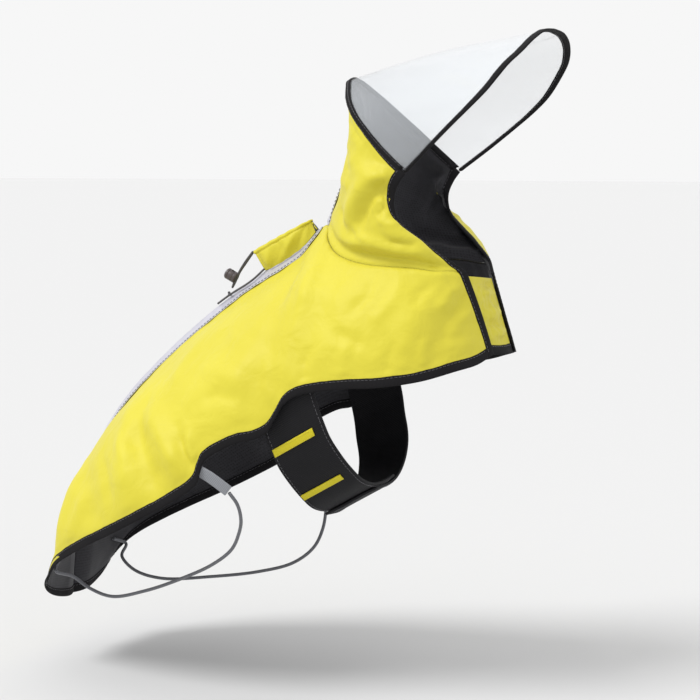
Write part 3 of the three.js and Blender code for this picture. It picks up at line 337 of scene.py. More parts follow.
def gridPiece(name, grid, finish, closed=False, inside=None, caps=False, skip=None):
    # A sheet of quads over a grid of points, with a UV map in metres of cloth.
    rows, columns = grid.shape[:2]
    along = np.concatenate([[0], np.cumsum(np.linalg.norm(np.diff(grid, axis=0), axis=2).mean(axis=1))]) * mm
    wide = np.concatenate([grid, grid[:, :1]], axis=1) if closed else grid
    across = np.concatenate([[0], np.cumsum(np.linalg.norm(np.diff(wide, axis=1), axis=2).mean(axis=0))]) * mm
    flip = False
    if inside is not None:
        row, column = rows // 2, columns // 2
        down = grid[min(row + 1, rows - 1), column] - grid[row - 1, column]
        over = grid[row, (column + 1) % columns] - grid[row, column - 1]
        flip = np.dot(np.cross(down, over), grid[row, column] - np.array(inside)) < 0
    faces = []
    faceUvs = []
    for row in range(rows - 1):
        for column in range(columns if closed else columns - 1):
            if skip is not None and skip(row, column):
                continue
            after = (column + 1) % columns
            corners = [(row, column, column), (row + 1, column, column), (row + 1, after, column + 1),
                       (row, after, column + 1)]
            if flip:
                corners.reverse()
            faces.append([corner[0] * columns + corner[1] for corner in corners])
            faceUvs.extend((along[corner[0]], across[corner[2]]) for corner in corners)
    if caps:
        for row in (0, rows - 1):
            order = list(range(columns)) if (row == 0) != flip else list(range(columns))[::-1]
            faces.append([row * columns + column for column in order])
            faceUvs.extend((along[row], across[column]) for column in order)
    return meshPiece(name, grid.reshape(-1, 3), faces, faceUvs, finish)


def applyModifier(piece, kind, **settings):
    bpy.ops.object.select_all(action="DESELECT")
    piece.select_set(True)
    bpy.context.view_layer.objects.active = piece
    modifier = piece.modifiers.new(kind.lower(), kind)
    for key, value in settings.items():
        setattr(modifier, key, value)
    bpy.ops.object.modifier_apply(modifier=modifier.name)


def giveWall(piece, wall, inner=None):
    # The cloth's thickness, with the lining as the inner face where there is one.
    if inner:
        piece.data.materials.append(finishes[inner])
    applyModifier(piece, "SOLIDIFY", thickness=wall * mm, offset=0, use_rim=True,
                  material_offset=1 if inner else 0, material_offset_rim=1 if inner else 0)


def framesAlong(points):
    # Steady side directions along a curve, turned as little as possible.
    tangents = np.gradient(points, axis=0)
    tangents /= np.linalg.norm(tangents, axis=1)[:, None]
    side = np.cross(tangents[0], (0, 0, 1))
    if np.linalg.norm(side) < 0.1:
        side = np.cross(tangents[0], (1, 0, 0))
    sides = []
    for tangent in tangents:
        side = side - tangent * np.dot(side, tangent)
        side /= np.linalg.norm(side)
        sides.append(side)
    sides = np.array(sides)
    return tangents, sides, np.cross(tangents, sides)


def tubePiece(name, points, diameter, finish, around=14):
    _, sides, ups = framesAlong(points)
    angles = np.linspace(0, 2 * math.pi, around, endpoint=False)
    ring = np.cos(angles)[None, :, None] * sides[:, None] + np.sin(angles)[None, :, None] * ups[:, None]
    grid = points[:, None] + ring * diameter / 2
    return gridPiece(name, grid, finish, closed=True, inside=points[len(points) // 2], caps=True)


def addLegElastic(sideName):
    points = curveThrough(legLoops[sideName], 150)
    piece = tubePiece("legElastic_" + sideName, points, legLoops["diameter"], "elastic")
    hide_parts("leg_elastic_" + sideName)


def addKnot():
    # An overhand knot: a short tight trefoil of the same cord round the tail.
    turns = np.linspace(0, 2 * math.pi, 60)
    reach = portCord["knotRadius"] - 0.8
    knot = np.stack([reach * np.sin(turns) + 1.1 * np.sin(2 * turns),
                     reach * np.cos(turns) - 1.1 * np.cos(2 * turns), -0.7 * np.sin(3 * turns)], axis=1)
    tangents, sides, ups = framesAlong(np.array([(-9.0, -5.0, -4.1), (-13.66, -4.58, -6.9), (-18.0, -4.1, -9.6)]))
    placed = knot[:, :1] * sides[1] + knot[:, 1:2] * ups[1] + knot[:, 2:] * tangents[1] * 1.4
    piece = tubePiece("cordTailKnot", placed * 0.82 + np.array(portCord["knot"]), portCord["diameter"] * 0.8,
                      "cord", 10)
    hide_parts("cord_tail_knot")
    return piece


def addPortCords():
    diameter = portCord["diameter"]
    loop = curveThrough(portCord["loop"], 120)
    piece = tubePiece("portDrawcord", loop, diameter, "cord", 12)
    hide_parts("drawcord")
    tail = curveThrough(portCord["tail"], 90)
    knot = addKnot()
    piece = tubePiece("portCordTail", tail, diameter, "cord", 12)
    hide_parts("cord_tail", "cord_tail_end")


addLegElastic("right")
addLegElastic("left")
addPortCords()
print("cords ready")

# The coat's own surfaces.

# Columns: topX, topW, topZ, hemX, hemW, hemZ, tent, one row per section from the front edge to the tail.
bodySections = np.array([
    (217, 40, 20, 236, 27, -47, 0.9), (206, 54, 22, 229, 48, -54, 0.9), (196, 62, 22, 217, 69, -58, 0.9),
    (180, 66, 24, 194, 87, -65, 0.85), (160, 67, 25, 164, 97, -70, 0.8), (140, 64, 26, 138, 101, -72, 0.75),
    (120, 57, 29, 113, 103, -75, 0.7), (102, 45, 35, 95, 104, -79, 0.62), (88, 27, 45, 82, 104, -87, 0.55),
    (77, 0, 55, 74, 104, -100, 0.5), (58, 0, 38, 67, 105, -111, 0.48), (38, 0, 24.5, 56, 107, -117, 0.46),
    (18, 0, 12.5, 43, 109, -120, 0.44), (0, 0, 0.95, 28, 110, -127, 0.42), (-20, 0, -14, 14, 111, -136, 0.4),
    (-42, 0, -31, 10, 112, -146, 0.36), (-66, 0, -51, 6, 114, -158, 0.32), (-92, 0, -75, -18, 116, -174, 0.26),
    (-117, 0, -101, -47, 114, -190, 0.2),
    (-139, 0, -131, -78, 107, -206, 0.15), (-156, 0, -166, -105, 98, -219, 0.12),
    (-168, 0, -205, -130, 86, -232, 0.1),
    (-176, 0, -245, -153, 74, -246, 0.1), (-180, 0, -289, -175, 58, -266, 0.1)])
leftFront = np.array([(222, 14, 16, 242, 14, -49, 0.9)])
neckBack = 9
tailEnd = len(bodySections) - 1

# Columns: x, half width, z.
visorSeamLine = np.array([(101, 0, 179), (102, 14, 176), (106, 26, 170), (111, 38, 163), (117, 48, 155),
                          (125, 56, 146), (134, 61, 137), (145, 65, 126), (159, 68, 113), (174, 68, 100)])
hoodBackLine = np.array([(77, 0, 55), (84, 0, 69), (91, 0, 84), (98, 0, 98), (104, 0, 112), (109, 0, 128),
                         (111, 0, 145), (108, 0, 163), (101, 0, 179)])
hoodFrontLine = np.array([(217, 40, 20), (205, 49, 30), (191, 57, 41), (178, 62, 51), (168, 65, 61),
                          (164, 66, 71), (164, 67, 82), (168, 68, 92), (174, 68, 100)])
leftHoodFoot = np.array([(222, 14, 16), (212, 34, 26), (194, 52, 39)])
visorRimLine = np.array([(278, 0, 216), (278, 28, 214), (276, 51, 207), (271, 69, 196), (263, 81, 185),
                         (249, 88, 166), (235, 89, 152), (219, 86, 138), (198, 79, 120), (174, 68, 100)])

cloth = {
    "wall": 1.2,
    "visorWall": 0.8,
    "bindingWidth": 8.2,
    "rimBindingWidth": 6.6,
    "ridgeHeight": 7,
    "ridgeReach": 20,
    "hoodTuck": 5,
    "visorBow": 5,
}
insideBody = (20, 0, -110)
insideHood = (150, 0, 80)
insideVisor = (190, 0, 110)

# Each fold: half width, lift, share on the right, share on the left, and its path as x, z in the side view.
bodyFolds = [
    (13, 4.5, 1, 0.7, [(-82, -88), (-60, -176)]),
    (12, 6, 1, 0.8, [(-60, -96), (2, -152)]),
    (13, -6, 1, 0.9, [(-70, -110), (-22, -168)]),
    (11, 3.5, 1, 0.6, [(-136, -160), (-150, -236)]),
    (15, -4, 1, 1.2, [(-118, -150), (-96, -206)]),
    (17, 3, 1, 0.5, [(60, 8), (30, -96)]),
    (15, -3, 1, 1.3, [(112, 4), (84, -62)]),
    (9, -3, 1, 0.4, [(206, -2), (214, -40)]),
    (13, 3, 1, 1, [(190, 8), (176, -50)]),
    (16, -2.5, 1, 1, [(20, -30), (-24, -70)]),
]
hoodFolds = [
    (8, 4.5, 1, 0.8, [(176, 94), (155, 98), (144, 95), (134, 86), (125, 72), (119, 58), (113, 46)]),
    (7, -4, 1, 0.9, [(170, 86), (151, 85), (143, 74), (136, 62), (130, 52)]),
    (8, 4.5, 1, 1.1, [(98, 50), (118, 43), (134, 43), (150, 44), (166, 40), (182, 36), (200, 28)]),
    (6, 2.6, 1, 0.8, [(198, 39), (179, 47), (165, 52), (150, 58)]),
    (6, -2.2, 1, 1, [(192, 34), (177, 41), (162, 47), (146, 51)]),
    (9, 1.6, 1, 1, [(114, 140), (112, 112), (107, 88)]),
    (8, -1.6, 1, 1.2, [(136, 128), (150, 111), (162, 100)]),
    (8, 1.8, 1, 0.7, [(118, 116), (130, 104), (146, 100)]),
]
# Finer creases, drawn for the finished cloth.
bodyCreases = [
    (4, 0.9, 1, 0.6, [(214, 12), (206, 2), (203, -12)]),
    (3.5, -0.9, 1, 0.5, [(218, 6), (214, -4), (212, -16)]),
    (4, 0.8, 1, 0.8, [(222, -8), (215, -20), (213, -34)]),
    (5, -1.0, 1, 1, [(198, 14), (188, 4), (182, -10)]),
    (6, 1.0, 1, 0.7, [(172, 16), (166, -4), (150, -24)]),
    (5, -0.9, 1, 1.1, [(150, 18), (146, 2), (132, -14)]),
    (6, -1.1, 1, 0.8, [(119, -25), (134, -32), (150, -38)]),
    (7, 1.1, 1, 1, [(92, 30), (88, 8), (88, -10)]),
    (6, -1.2, 0.9, 1.1, [(76, 30), (66, 12), (60, -14)]),
    (7, 1.0, 1, 0.9, [(36, -70), (13, -63), (-14, -62)]),
    (6, -1.0, 1, 0.8, [(46, -86), (22, -82), (2, -88)]),
    (7, 1.2, 1, 1, [(-22, -44), (-32, -62), (-36, -84)]),
    (5, -1.4, 1, 0.9, [(8, -148), (-6, -132), (-16, -112)]),
    (4, 1.2, 1, 0.9, [(10, -143), (0, -128), (-4, -110)]),
    (6, -1.2, 1, 1.1, [(-60, -84), (-62, -106), (-58, -128)]),
    (6, 1.2, 1, 0.8, [(-85, -125), (-70, -137), (-56, -147)]),
    (6, -1.1, 1, 1, [(-100, -140), (-86, -160), (-76, -184)]),
    (8, 1.3, 1, 1, [(-128, -146), (-139, -184), (-147, -222)]),
    (6, -1.0, 1, 1, [(-148, -190), (-156, -222), (-162, -250)]),
    (7, 1.0, 1, 0.9, [(-112, -172), (-124, -200), (-132, -226)]),
    (5, 0.9, 1, 1, [(74, -92), (66, -74), (64, -52)]),
    (5, -0.9, 1, 0.8, [(100, -74), (98, -54), (104, -36)]),
    (5, 0.8, 0.8, 1, [(134, -68), (132, -48), (140, -28)]),
    (5, -0.8, 1, 1, [(168, -64), (170, -44), (176, -26)]),
    (4, 0.8, 1, 1, [(196, -58), (194, -42), (198, -26)]),
]
hoodCreases = [
    (3.5, -1.2, 1, 0.9, [(163, 92), (154, 92), (146, 88)]),
    (3, 1.0, 1, 1, [(160, 80), (150, 78), (144, 68), (140, 58)]),
    (3, -0.9, 1, 0.9, [(166, 74), (157, 72), (150, 64)]),
    (3.5, 1.0, 1, 0.8, [(172, 60), (160, 60), (150, 64)]),
    (3, -1.0, 1, 1, [(186, 42), (172, 45), (160, 45)]),
    (4, -1.2, 1, 1, [(108, 74), (114, 60), (122, 50)]),
    (3, 0.9, 1, 0.8, [(126, 60), (133, 50), (144, 47)]),
    (3, -0.8, 1, 1, [(204, 26), (190, 32), (176, 35)]),
    (5, 0.8, 1, 1, [(104, 100), (112, 92), (124, 88)]),
    (4, -0.9, 1, 0.8, [(110, 122), (118, 112), (122, 98)]),
    (4, 0.7, 0.7, 1, [(104, 160), (112, 150), (118, 138)]),
    (4, -0.7, 1, 1, [(112, 158), (124, 140), (138, 122)]),
]


def rowAt(rows, place):
    # A smooth curve through a table's rows.
    place = np.asarray(place, float)
    last = len(rows) - 1
    index = np.clip(np.floor(place).astype(int), 0, last - 1)
    part = (place - index)[..., None]
    before, start = rows[np.maximum(index - 1, 0)], rows[index]
    end, after = rows[index + 1], rows[np.minimum(index + 2, last)]
    slopeIn, slopeOut, change = (end - before) / 2, (after - start) / 2, end - start
    bend = slopeIn + slopeOut - 2 * change
    sag = 3 * change - 2 * slopeIn - slopeOut
    return start + part * (slopeIn + part * (sag + part * bend))


def edgeFade(distance, reach):
    part = np.clip(distance / reach, 0, 1)
    return part * part * (3 - 2 * part)


def foldLift(folds, points, side):
    # How far the folds lift the cloth, seen from the side; a fold dies out towards its ends.
    total = np.zeros(points.shape[:-1])
    flat = points[..., [0, 2]]
    for reach, lift, onRight, onLeft, path in folds:
        path = np.array(path, float)
        lengths = lengthAlong(path)
        nearest = np.full(flat.shape[:-1], 1e9)
        run = np.zeros(flat.shape[:-1])
        for index in range(len(path) - 1):
            step = path[index + 1] - path[index]
            part = np.clip(((flat - path[index]) @ step) / (step @ step), 0, 1)
            away = np.linalg.norm(flat - path[index] - part[..., None] * step, axis=-1)
            closer = away < nearest
            nearest = np.where(closer, away, nearest)
            run = np.where(closer, lengths[index] + part * (lengths[index + 1] - lengths[index]), run)
        taper = edgeFade(run, 0.3 * lengths[-1]) * edgeFade(lengths[-1] - run, 0.3 * lengths[-1])
        share = onRight if side == rightSide else onLeft
        total += share * lift * (0.25 + 0.75 * taper) * np.exp(-((nearest / reach) ** 2))
    return total


def sectionsOf(side):
    return bodySections if side == rightSide else np.vstack([leftFront, bodySections[1:]])


def smoothBody(side, section, down):
    section, down = np.broadcast_arrays(np.clip(section, 0, tailEnd), np.clip(down, 0, 1))
    rows = sectionsOf(side)
    topX, topW, topZ, hemX, hemW, hemZ, tent = np.moveaxis(rowAt(rows, section), -1, 0)
    turn = down * math.pi / 2
    fall = tent * down + (1 - tent) * (1 - np.cos(turn))
    points = np.stack([topX + (hemX - topX) * fall, side * (topW + (hemW - topW) * np.sin(turn)),
                       topZ + (hemZ - topZ) * fall], axis=-1)
    # The cloth falls away on both sides of the back seam, which stands as a low crest.
    ahead = rowAt(rows, np.minimum(section + 0.5, tailEnd))
    behind = rowAt(rows, np.maximum(section - 0.5, 0))
    backX, backZ = ahead[..., 0] - behind[..., 0], ahead[..., 2] - behind[..., 2]
    size = np.hypot(backX, backZ) + 1e-9
    crest = np.maximum(1 - np.abs(points[..., 1]) / cloth["ridgeReach"], 0) ** 1.6
    sink = cloth["ridgeHeight"] * edgeFade(section - neckBack, 1.5) * (1 - down) * (1 - crest)
    points[..., 0] -= sink * backZ / size
    points[..., 2] += sink * backX / size
    return points


def normalAt(surface, a, b, side, step=0.004):
    alongA = surface(a + step, b) - surface(a - step, b)
    alongB = surface(a, b + step) - surface(a, b - step)
    normal = np.cross(alongA, alongB)
    normal /= np.linalg.norm(normal, axis=-1)[..., None] + 1e-12
    return np.where((normal[..., 1] * side < 0)[..., None], -normal, normal)


def bodyPoint(side, section, down, creases=True):
    def smooth(a, b):
        return smoothBody(side, a, b)
    section, down = np.broadcast_arrays(np.asarray(section, float), np.asarray(down, float))
    points = smooth(section, down)
    normal = normalAt(smooth, np.clip(section, 0.01, tailEnd - 0.01), np.clip(down, 0.02, 0.98), side)
    lift = edgeFade(down, 0.25) * edgeFade(section, 0.8) * foldLift(bodyFolds, points, side)
    if creases:
        lift = lift + edgeFade(down, 0.15) * edgeFade(section, 0.5) * foldLift(bodyCreases, points, side)
    return points + normal * lift[..., None]


def linePoint(side, rows, place):
    return rowAt(rows, np.asarray(place) * (len(rows) - 1)) * np.array([1, side, 1])


def neckPoint(side, place):
    rows = sectionsOf(side)[:neckBack + 1][::-1, :3]
    return linePoint(side, rows, place)


def smoothHood(side, forward, up):
    forward, up = np.broadcast_arrays(np.clip(forward, 0, 1), np.clip(up, 0, 1))
    frontLine = hoodFrontLine if side == rightSide else np.vstack([leftHoodFoot, hoodFrontLine[3:]])
    a, b = forward[..., None], up[..., None]
    zero, one = np.zeros(()), np.ones(())
    return (neckPoint(side, forward) * (1 - b) + linePoint(side, visorSeamLine, forward) * b
            + linePoint(side, hoodBackLine, up) * (1 - a) + linePoint(side, frontLine, up) * a
            - neckPoint(side, zero) * (1 - a) * (1 - b) - neckPoint(side, one) * a * (1 - b)
            - linePoint(side, visorSeamLine, zero) * (1 - a) * b - linePoint(side, visorSeamLine, one) * a * b)


def hoodPoint(side, forward, up, creases=True):
    def smooth(a, b):
        return smoothHood(side, a, b)
    forward, up = np.broadcast_arrays(np.asarray(forward, float), np.asarray(up, float))
    points = smooth(forward, up)
    normal = normalAt(smooth, np.clip(forward, 0.01, 0.99), np.clip(up, 0.01, 0.99), side)
    fade = edgeFade(forward, 0.18) * edgeFade(1 - forward, 0.1) * edgeFade(up, 0.12) * edgeFade(1 - up, 0.12)
    lift = fade * foldLift(hoodFolds, points, side)
    if creases:
        lift = lift + fade * foldLift(hoodCreases, points, side)
    # The cloth tucks in just above the neck seam, under the hood's hanging roll.
    seamHeight = np.linalg.norm(points - smooth(forward, 0), axis=-1)
    tuck = cloth["hoodTuck"] * np.exp(-(((seamHeight - 8) / 6) ** 2))
    lift = lift - tuck * edgeFade(forward, 0.15) * edgeFade(1 - forward, 0.2)
    return points + normal * lift[..., None]


def visorPoint(side, sideways, out):
    sideways, out = np.broadcast_arrays(np.asarray(sideways, float), np.asarray(out, float))
    seam, rim = linePoint(side, visorSeamLine, sideways), linePoint(side, visorRimLine, sideways)
    points = seam + (rim - seam) * out[..., None]
    points[..., 2] += cloth["visorBow"] * np.sin(math.pi * out) * (1 - sideways) ** 2
    return points


def insetPlace(line, start, direction, distance, span, count=1):
    # For each of several lines on a surface, the place a real distance in from its start.
    places = start + direction * np.linspace(0, span, 41)
    points = np.stack([line(place) for place in places]).reshape(41, count, 3)
    lengths = np.cumsum(np.linalg.norm(np.diff(points, axis=0), axis=-1), axis=0)
    lengths = np.vstack([np.zeros((1, count)), lengths])
    distance = np.broadcast_to(distance, (count,))
    return np.array([np.interp(distance[index], lengths[:, index], places) for index in range(count)])


def gridNormals(grid, inside, closed=False):
    padded = np.concatenate([grid[:, -1:], grid, grid[:, :1]], axis=1) if closed else grid
    down = np.gradient(padded, axis=0)
    over = np.gradient(padded, axis=1)
    normal = np.cross(down, over)
    if closed:
        normal = normal[:, 1:-1]
    normal /= np.linalg.norm(normal, axis=-1)[..., None] + 1e-12
    row, column = grid.shape[0] // 2, grid.shape[1] // 2
    if np.dot(normal[row, column], grid[row, column] - np.array(inside)) < 0:
        normal = -normal
    return normal


def softNoise(points, size, shift=0.0):
    flat = points.reshape(-1, 3) / size + shift
    return np.array([noise.noise(place) for place in flat.tolist()]).reshape(points.shape[:-1])


def gridLengths(grid, axis):
    steps = np.linalg.norm(np.diff(grid, axis=axis), axis=2)
    start = np.zeros((1, grid.shape[1])) if axis == 0 else np.zeros((grid.shape[0], 1))
    return np.concatenate([start, np.cumsum(steps, axis=axis)], axis=axis)


def pucker(distance, along, size, reach, height, seed):
    # Small gathers that a seam draws into the cloth beside it, uneven along the seam.
    flat = np.stack([along / size, distance / 60 + seed, np.full(along.shape, seed)], axis=-1)
    wave = softNoise(flat, 1.0)
    return height * wave * np.exp(-distance / reach)


def seamNormals(side, place):
    # The direction halfway between the hood and the body at the neck seam.
    hood = normalAt(lambda a, b: smoothHood(side, a, b), np.clip(place, 0.02, 0.98),
                    np.full(place.shape, 0.02), side)
    body = normalAt(lambda a, b: smoothBody(side, a, b), np.clip(neckBack * (1 - place), 0.05, 8.9),
                    np.full(place.shape, 0.03), side)
    return (hood + body) / (np.linalg.norm(hood + body, axis=-1)[..., None] + 1e-9)


def seamSink(distance):
    return panels["seamSink"] * np.exp(-((distance / 2.2) ** 2))


def underTape(distance):
    # Nothing but the plain cloth lies under the edge tapes.
    return edgeFade(distance - panels["tapeCover"], 6)


print("surfaces ready")

# The cloth panels.

panels = {
    "bodyRows": 230,
    "bodyColumns": 92,
    "hoodRows": 130,
    "hoodColumns": 110,
    "underBinding": 4.0,
    "tapeCover": 4.5,
    "hoodDepth": 110,
    "seamPucker": 0.55,
    "seamSink": 1.3,
    "ripple": 1.2,
    "creaseDepth": 1.8,
}
port = {
    "slitMiddle": 45.0,
    "slitHalf": 22.0,
    "slitWidth": 3.3,
    "baseFrom": 9.42,
    "baseTo": 11.9,
    "baseHalfWidth": 5.2,
    "rimMiddle": (35, 45.5),
    "rimAlong": (0.887, 0.46),
    "rimHalfLength": 30,
    "rimHalfWidth": 5,
    "outward": (-0.57, 0, 0.82),
}


def slitHalfWidth(x):
    part = np.clip(np.abs(x - port["slitMiddle"]) / port["slitHalf"], 0, 1)
    return port["slitWidth"] * np.sqrt(1 - part ** 2)


def keepToSide(grid, side, slit=False):
    least = np.full(grid.shape[:2], 0.15)
    if slit:
        onBack = grid[..., 2] > -20
        least = np.where(onBack, np.maximum(least, slitHalfWidth(grid[..., 0])), least)
    grid[..., 1] = side * np.maximum(side * grid[..., 1], least)
    return grid


def bodyGrid(side):
    rows = np.linspace(0, 1, panels["bodyRows"])
    section = 0.17 + rows * (tailEnd - 0.3)
    under = panels["underBinding"]
    bottom = insetPlace(lambda down: bodyPoint(side, section, np.full(section.shape, down), False),
                        1, -1, under, 0.2, len(section))
    neck = insetPlace(lambda down: bodyPoint(side, section, np.full(section.shape, down), False),
                      0, 1, 0.05, 0.1, len(section))
    top = np.where(section < neckBack, neck, 0)
    across = np.linspace(0, 1, panels["bodyColumns"]) ** 0.9
    down = top[:, None] + (bottom - top)[:, None] * across[None, :]
    grid = bodyPoint(side, section[:, None] + 0 * down, down, False)
    normals = gridNormals(grid, insideBody)
    along = gridLengths(grid, 0)
    fromTop = gridLengths(grid, 1)
    fromHem = fromTop[:, -1:] - fromTop
    fromFront = along
    fromTail = along[-1:] - along
    clear = underTape(fromHem) * underTape(fromFront) * underTape(fromTail)
    creased = bodyPoint(side, section[:, None] + 0 * down, down)
    grid = grid + (creased - grid) * clear[..., None] * panels["creaseDepth"]
    height = panels["seamPucker"]
    lift = pucker(fromHem, along, 8.0, 9.0, height * 1.5, 3.1 + side)
    lift += pucker(fromFront, fromTop, 8.0, 8.0, height * 1.6, 5.7 + side)
    lift += pucker(fromTail, fromTop, 8.0, 9.0, height * 1.5, 8.3 + side)
    onNeck = edgeFade(neckBack - section[:, None], 1.0)
    lift += onNeck * pucker(fromTop, along, 7.0, 9.0, height * 1.8, 1.9 + side) * edgeFade(fromTop, 3)
    ripple = softNoise(grid, 34.0, side * 7.0) + 0.45 * softNoise(grid, 15.0, side * 3.0)
    lift += panels["ripple"] * ripple * edgeFade(fromHem, 12) * edgeFade(fromTop, 12)
    seam = seamNormals(side, np.clip(1 - section / neckBack, 0, 1))[:, None]
    sink = seam * (onNeck * seamSink(fromTop))[..., None]
    return keepToSide(grid + normals * (lift * clear)[..., None] - sink, side, slit=True)


def hoodGrid(side):
    forward = np.linspace(0, 1, panels["hoodRows"])
    forward = forward * (1 - panels["underBinding"] / panels["hoodDepth"])
    bottom = insetPlace(lambda up: hoodPoint(side, forward, np.full(forward.shape, up), False),
                        0, 1, 0.05, 0.1, len(forward))
    top = insetPlace(lambda up: hoodPoint(side, forward, np.full(forward.shape, up), False),
                     1, -1, 2.2, 0.2, len(forward))
    part = np.linspace(0, 1, panels["hoodColumns"])
    up = bottom[:, None] + (top - bottom)[:, None] * part[None, :]
    grid = hoodPoint(side, forward[:, None] + 0 * up, up, False)
    normals = gridNormals(grid, insideHood)
    along = gridLengths(grid, 0)
    fromNeck = gridLengths(grid, 1)
    fromVisor = fromNeck[:, -1:] - fromNeck
    fromFront = along[-1:] - along
    clear = underTape(fromVisor) * underTape(fromFront)
    creased = hoodPoint(side, forward[:, None] + 0 * up, up)
    grid = grid + (creased - grid) * clear[..., None] * panels["creaseDepth"]
    height = panels["seamPucker"]
    lift = pucker(fromVisor, along, 7.0, 8.0, height * 1.6, 2.3 + side)
    lift += pucker(fromFront, fromNeck, 7.0, 8.0, height * 1.8, 4.1 + side)
    lift += pucker(fromNeck, along, 7.0, 9.0, height * 1.8, 6.6 + side) * edgeFade(fromNeck, 3)
    ripple = softNoise(grid, 30.0, side * 5.0 + 2.0) + 0.5 * softNoise(grid, 13.0, side * 9.0)
    lift += panels["ripple"] * ripple * edgeFade(fromNeck, 10) * edgeFade(fromVisor, 10) * edgeFade(along, 14)
    sink = seamNormals(side, forward)[:, None] * seamSink(fromNeck)[..., None]
    return keepToSide(grid + normals * (lift * clear)[..., None] - sink, side)


def addBody(side, name, node):
    piece = gridPiece(name, bodyGrid(side), "cloth", inside=insideBody)
    giveWall(piece, cloth["wall"], "lining")
    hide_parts(node)
    return piece


def addHood(side, name, node):
    piece = gridPiece(name, hoodGrid(side), "cloth", inside=insideHood)
    giveWall(piece, cloth["wall"], "lining")
    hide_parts(node)
    return piece


bodyPieces = [addBody(rightSide, "bodyPanelRight", "body_right"), addBody(leftSide, "bodyPanelLeft", "body_left")]
hoodPieces = [addHood(rightSide, "hoodPanelRight", "hood_right"), addHood(leftSide, "hoodPanelLeft", "hood_left")]
print("cloth panels ready")

# Bindings: a woven tape folded over an edge and stitched down.

bindingShape = {
    # Columns: place across the tape from its inner to its folded edge, and height in mm.
    "profile": [(0.0, 0.55), (0.0, 0.85), (0.03, 1.05), (0.09, 1.12), (0.15, 1.0), (0.2, 0.98), (0.26, 1.12),
                (0.5, 1.22), (0.74, 1.2), (0.88, 1.05), (0.96, 0.72), (1.0, 0.3)],
    "seamProfile": [(0.0, 0.5), (0.02, 0.9), (0.09, 1.05), (0.15, 0.96), (0.21, 1.08), (0.5, 1.2), (0.79, 1.08),
                    (0.85, 0.96), (0.91, 1.05), (0.98, 0.9), (1.0, 0.5)],
    "stitchPlace": 0.18,
    "stitchPitch": 3.4,
    "stitchLength": 2.5,
    "stitchRadius": 0.26,
}


def smoothNormals(normals, rounds=6):
    for _ in range(rounds):
        padded = np.vstack([normals[:1], normals, normals[-1:]])
        normals = (padded[:-2] + 2 * padded[1:-1] + padded[2:]) / 4
    return normals / np.linalg.norm(normals, axis=1)[:, None]


def tapeNormals(inner, outer, inside):
    along = np.gradient((inner + outer) / 2, axis=0)
    normals = np.cross(along, outer - inner)
    normals /= np.linalg.norm(normals, axis=1)[:, None] + 1e-12
    middle = len(inner) // 2
    if np.dot(normals[middle], (inner + outer)[middle] / 2 - np.array(inside)) < 0:
        normals = -normals
    return smoothNormals(normals)


def resample(lines, step):
    # Even steps along a tape, the same for each of its lines.
    lengths = lengthAlong((lines[0] + lines[-1]) / 2)
    places = np.linspace(0, lengths[-1], max(int(lengths[-1] / step), 4) + 1)
    return [np.stack([np.interp(places, lengths, line[:, axis]) for axis in range(3)], axis=1) for line in lines]


def stitchPiece(name, points, normals, thread, radius, pitch, length):
    # A run of lockstitches: short threads that dip into the cloth at both ends.
    lengths = lengthAlong(points)
    count = int((lengths[-1] - pitch) / pitch)
    vertices, faces, uvs = [], [], []
    heights = [-0.9, 0.75, 0.75, -0.9]
    spots = [-0.5, -0.3, 0.3, 0.5]
    for index in range(count):
        middle = (index + 1) * pitch + random.uniform(-0.06, 0.06) * pitch
        base = len(vertices)
        for spot, height in zip(spots, heights):
            place = middle + spot * length
            point = np.array([np.interp(place, lengths, points[:, axis]) for axis in range(3)])
            normal = np.array([np.interp(place, lengths, normals[:, axis]) for axis in range(3)])
            ahead = np.array([np.interp(place + 0.5, lengths, points[:, axis]) for axis in range(3)]) - point
            side = np.cross(ahead, normal)
            side /= np.linalg.norm(side) + 1e-12
            for turn in range(5):
                angle = turn / 5 * 2 * math.pi
                vertices.append(point + normal * (height * radius + radius * math.sin(angle))
                                + side * radius * math.cos(angle))
        for ring in range(3):
            for turn in range(5):
                after = (turn + 1) % 5
                faces.append([base + ring * 5 + turn, base + ring * 5 + after, base + ring * 5 + 5 + after,
                              base + ring * 5 + 5 + turn])
                uvs.extend([(0, 0)] * 4)
        faces.append([base + turn for turn in (4, 3, 2, 1, 0)])
        faces.append([base + 15 + turn for turn in range(5)])
        uvs.extend([(0, 0)] * 10)
    piece = meshPiece(name, vertices, faces, uvs, thread)
    fixNormals(piece)
    return piece


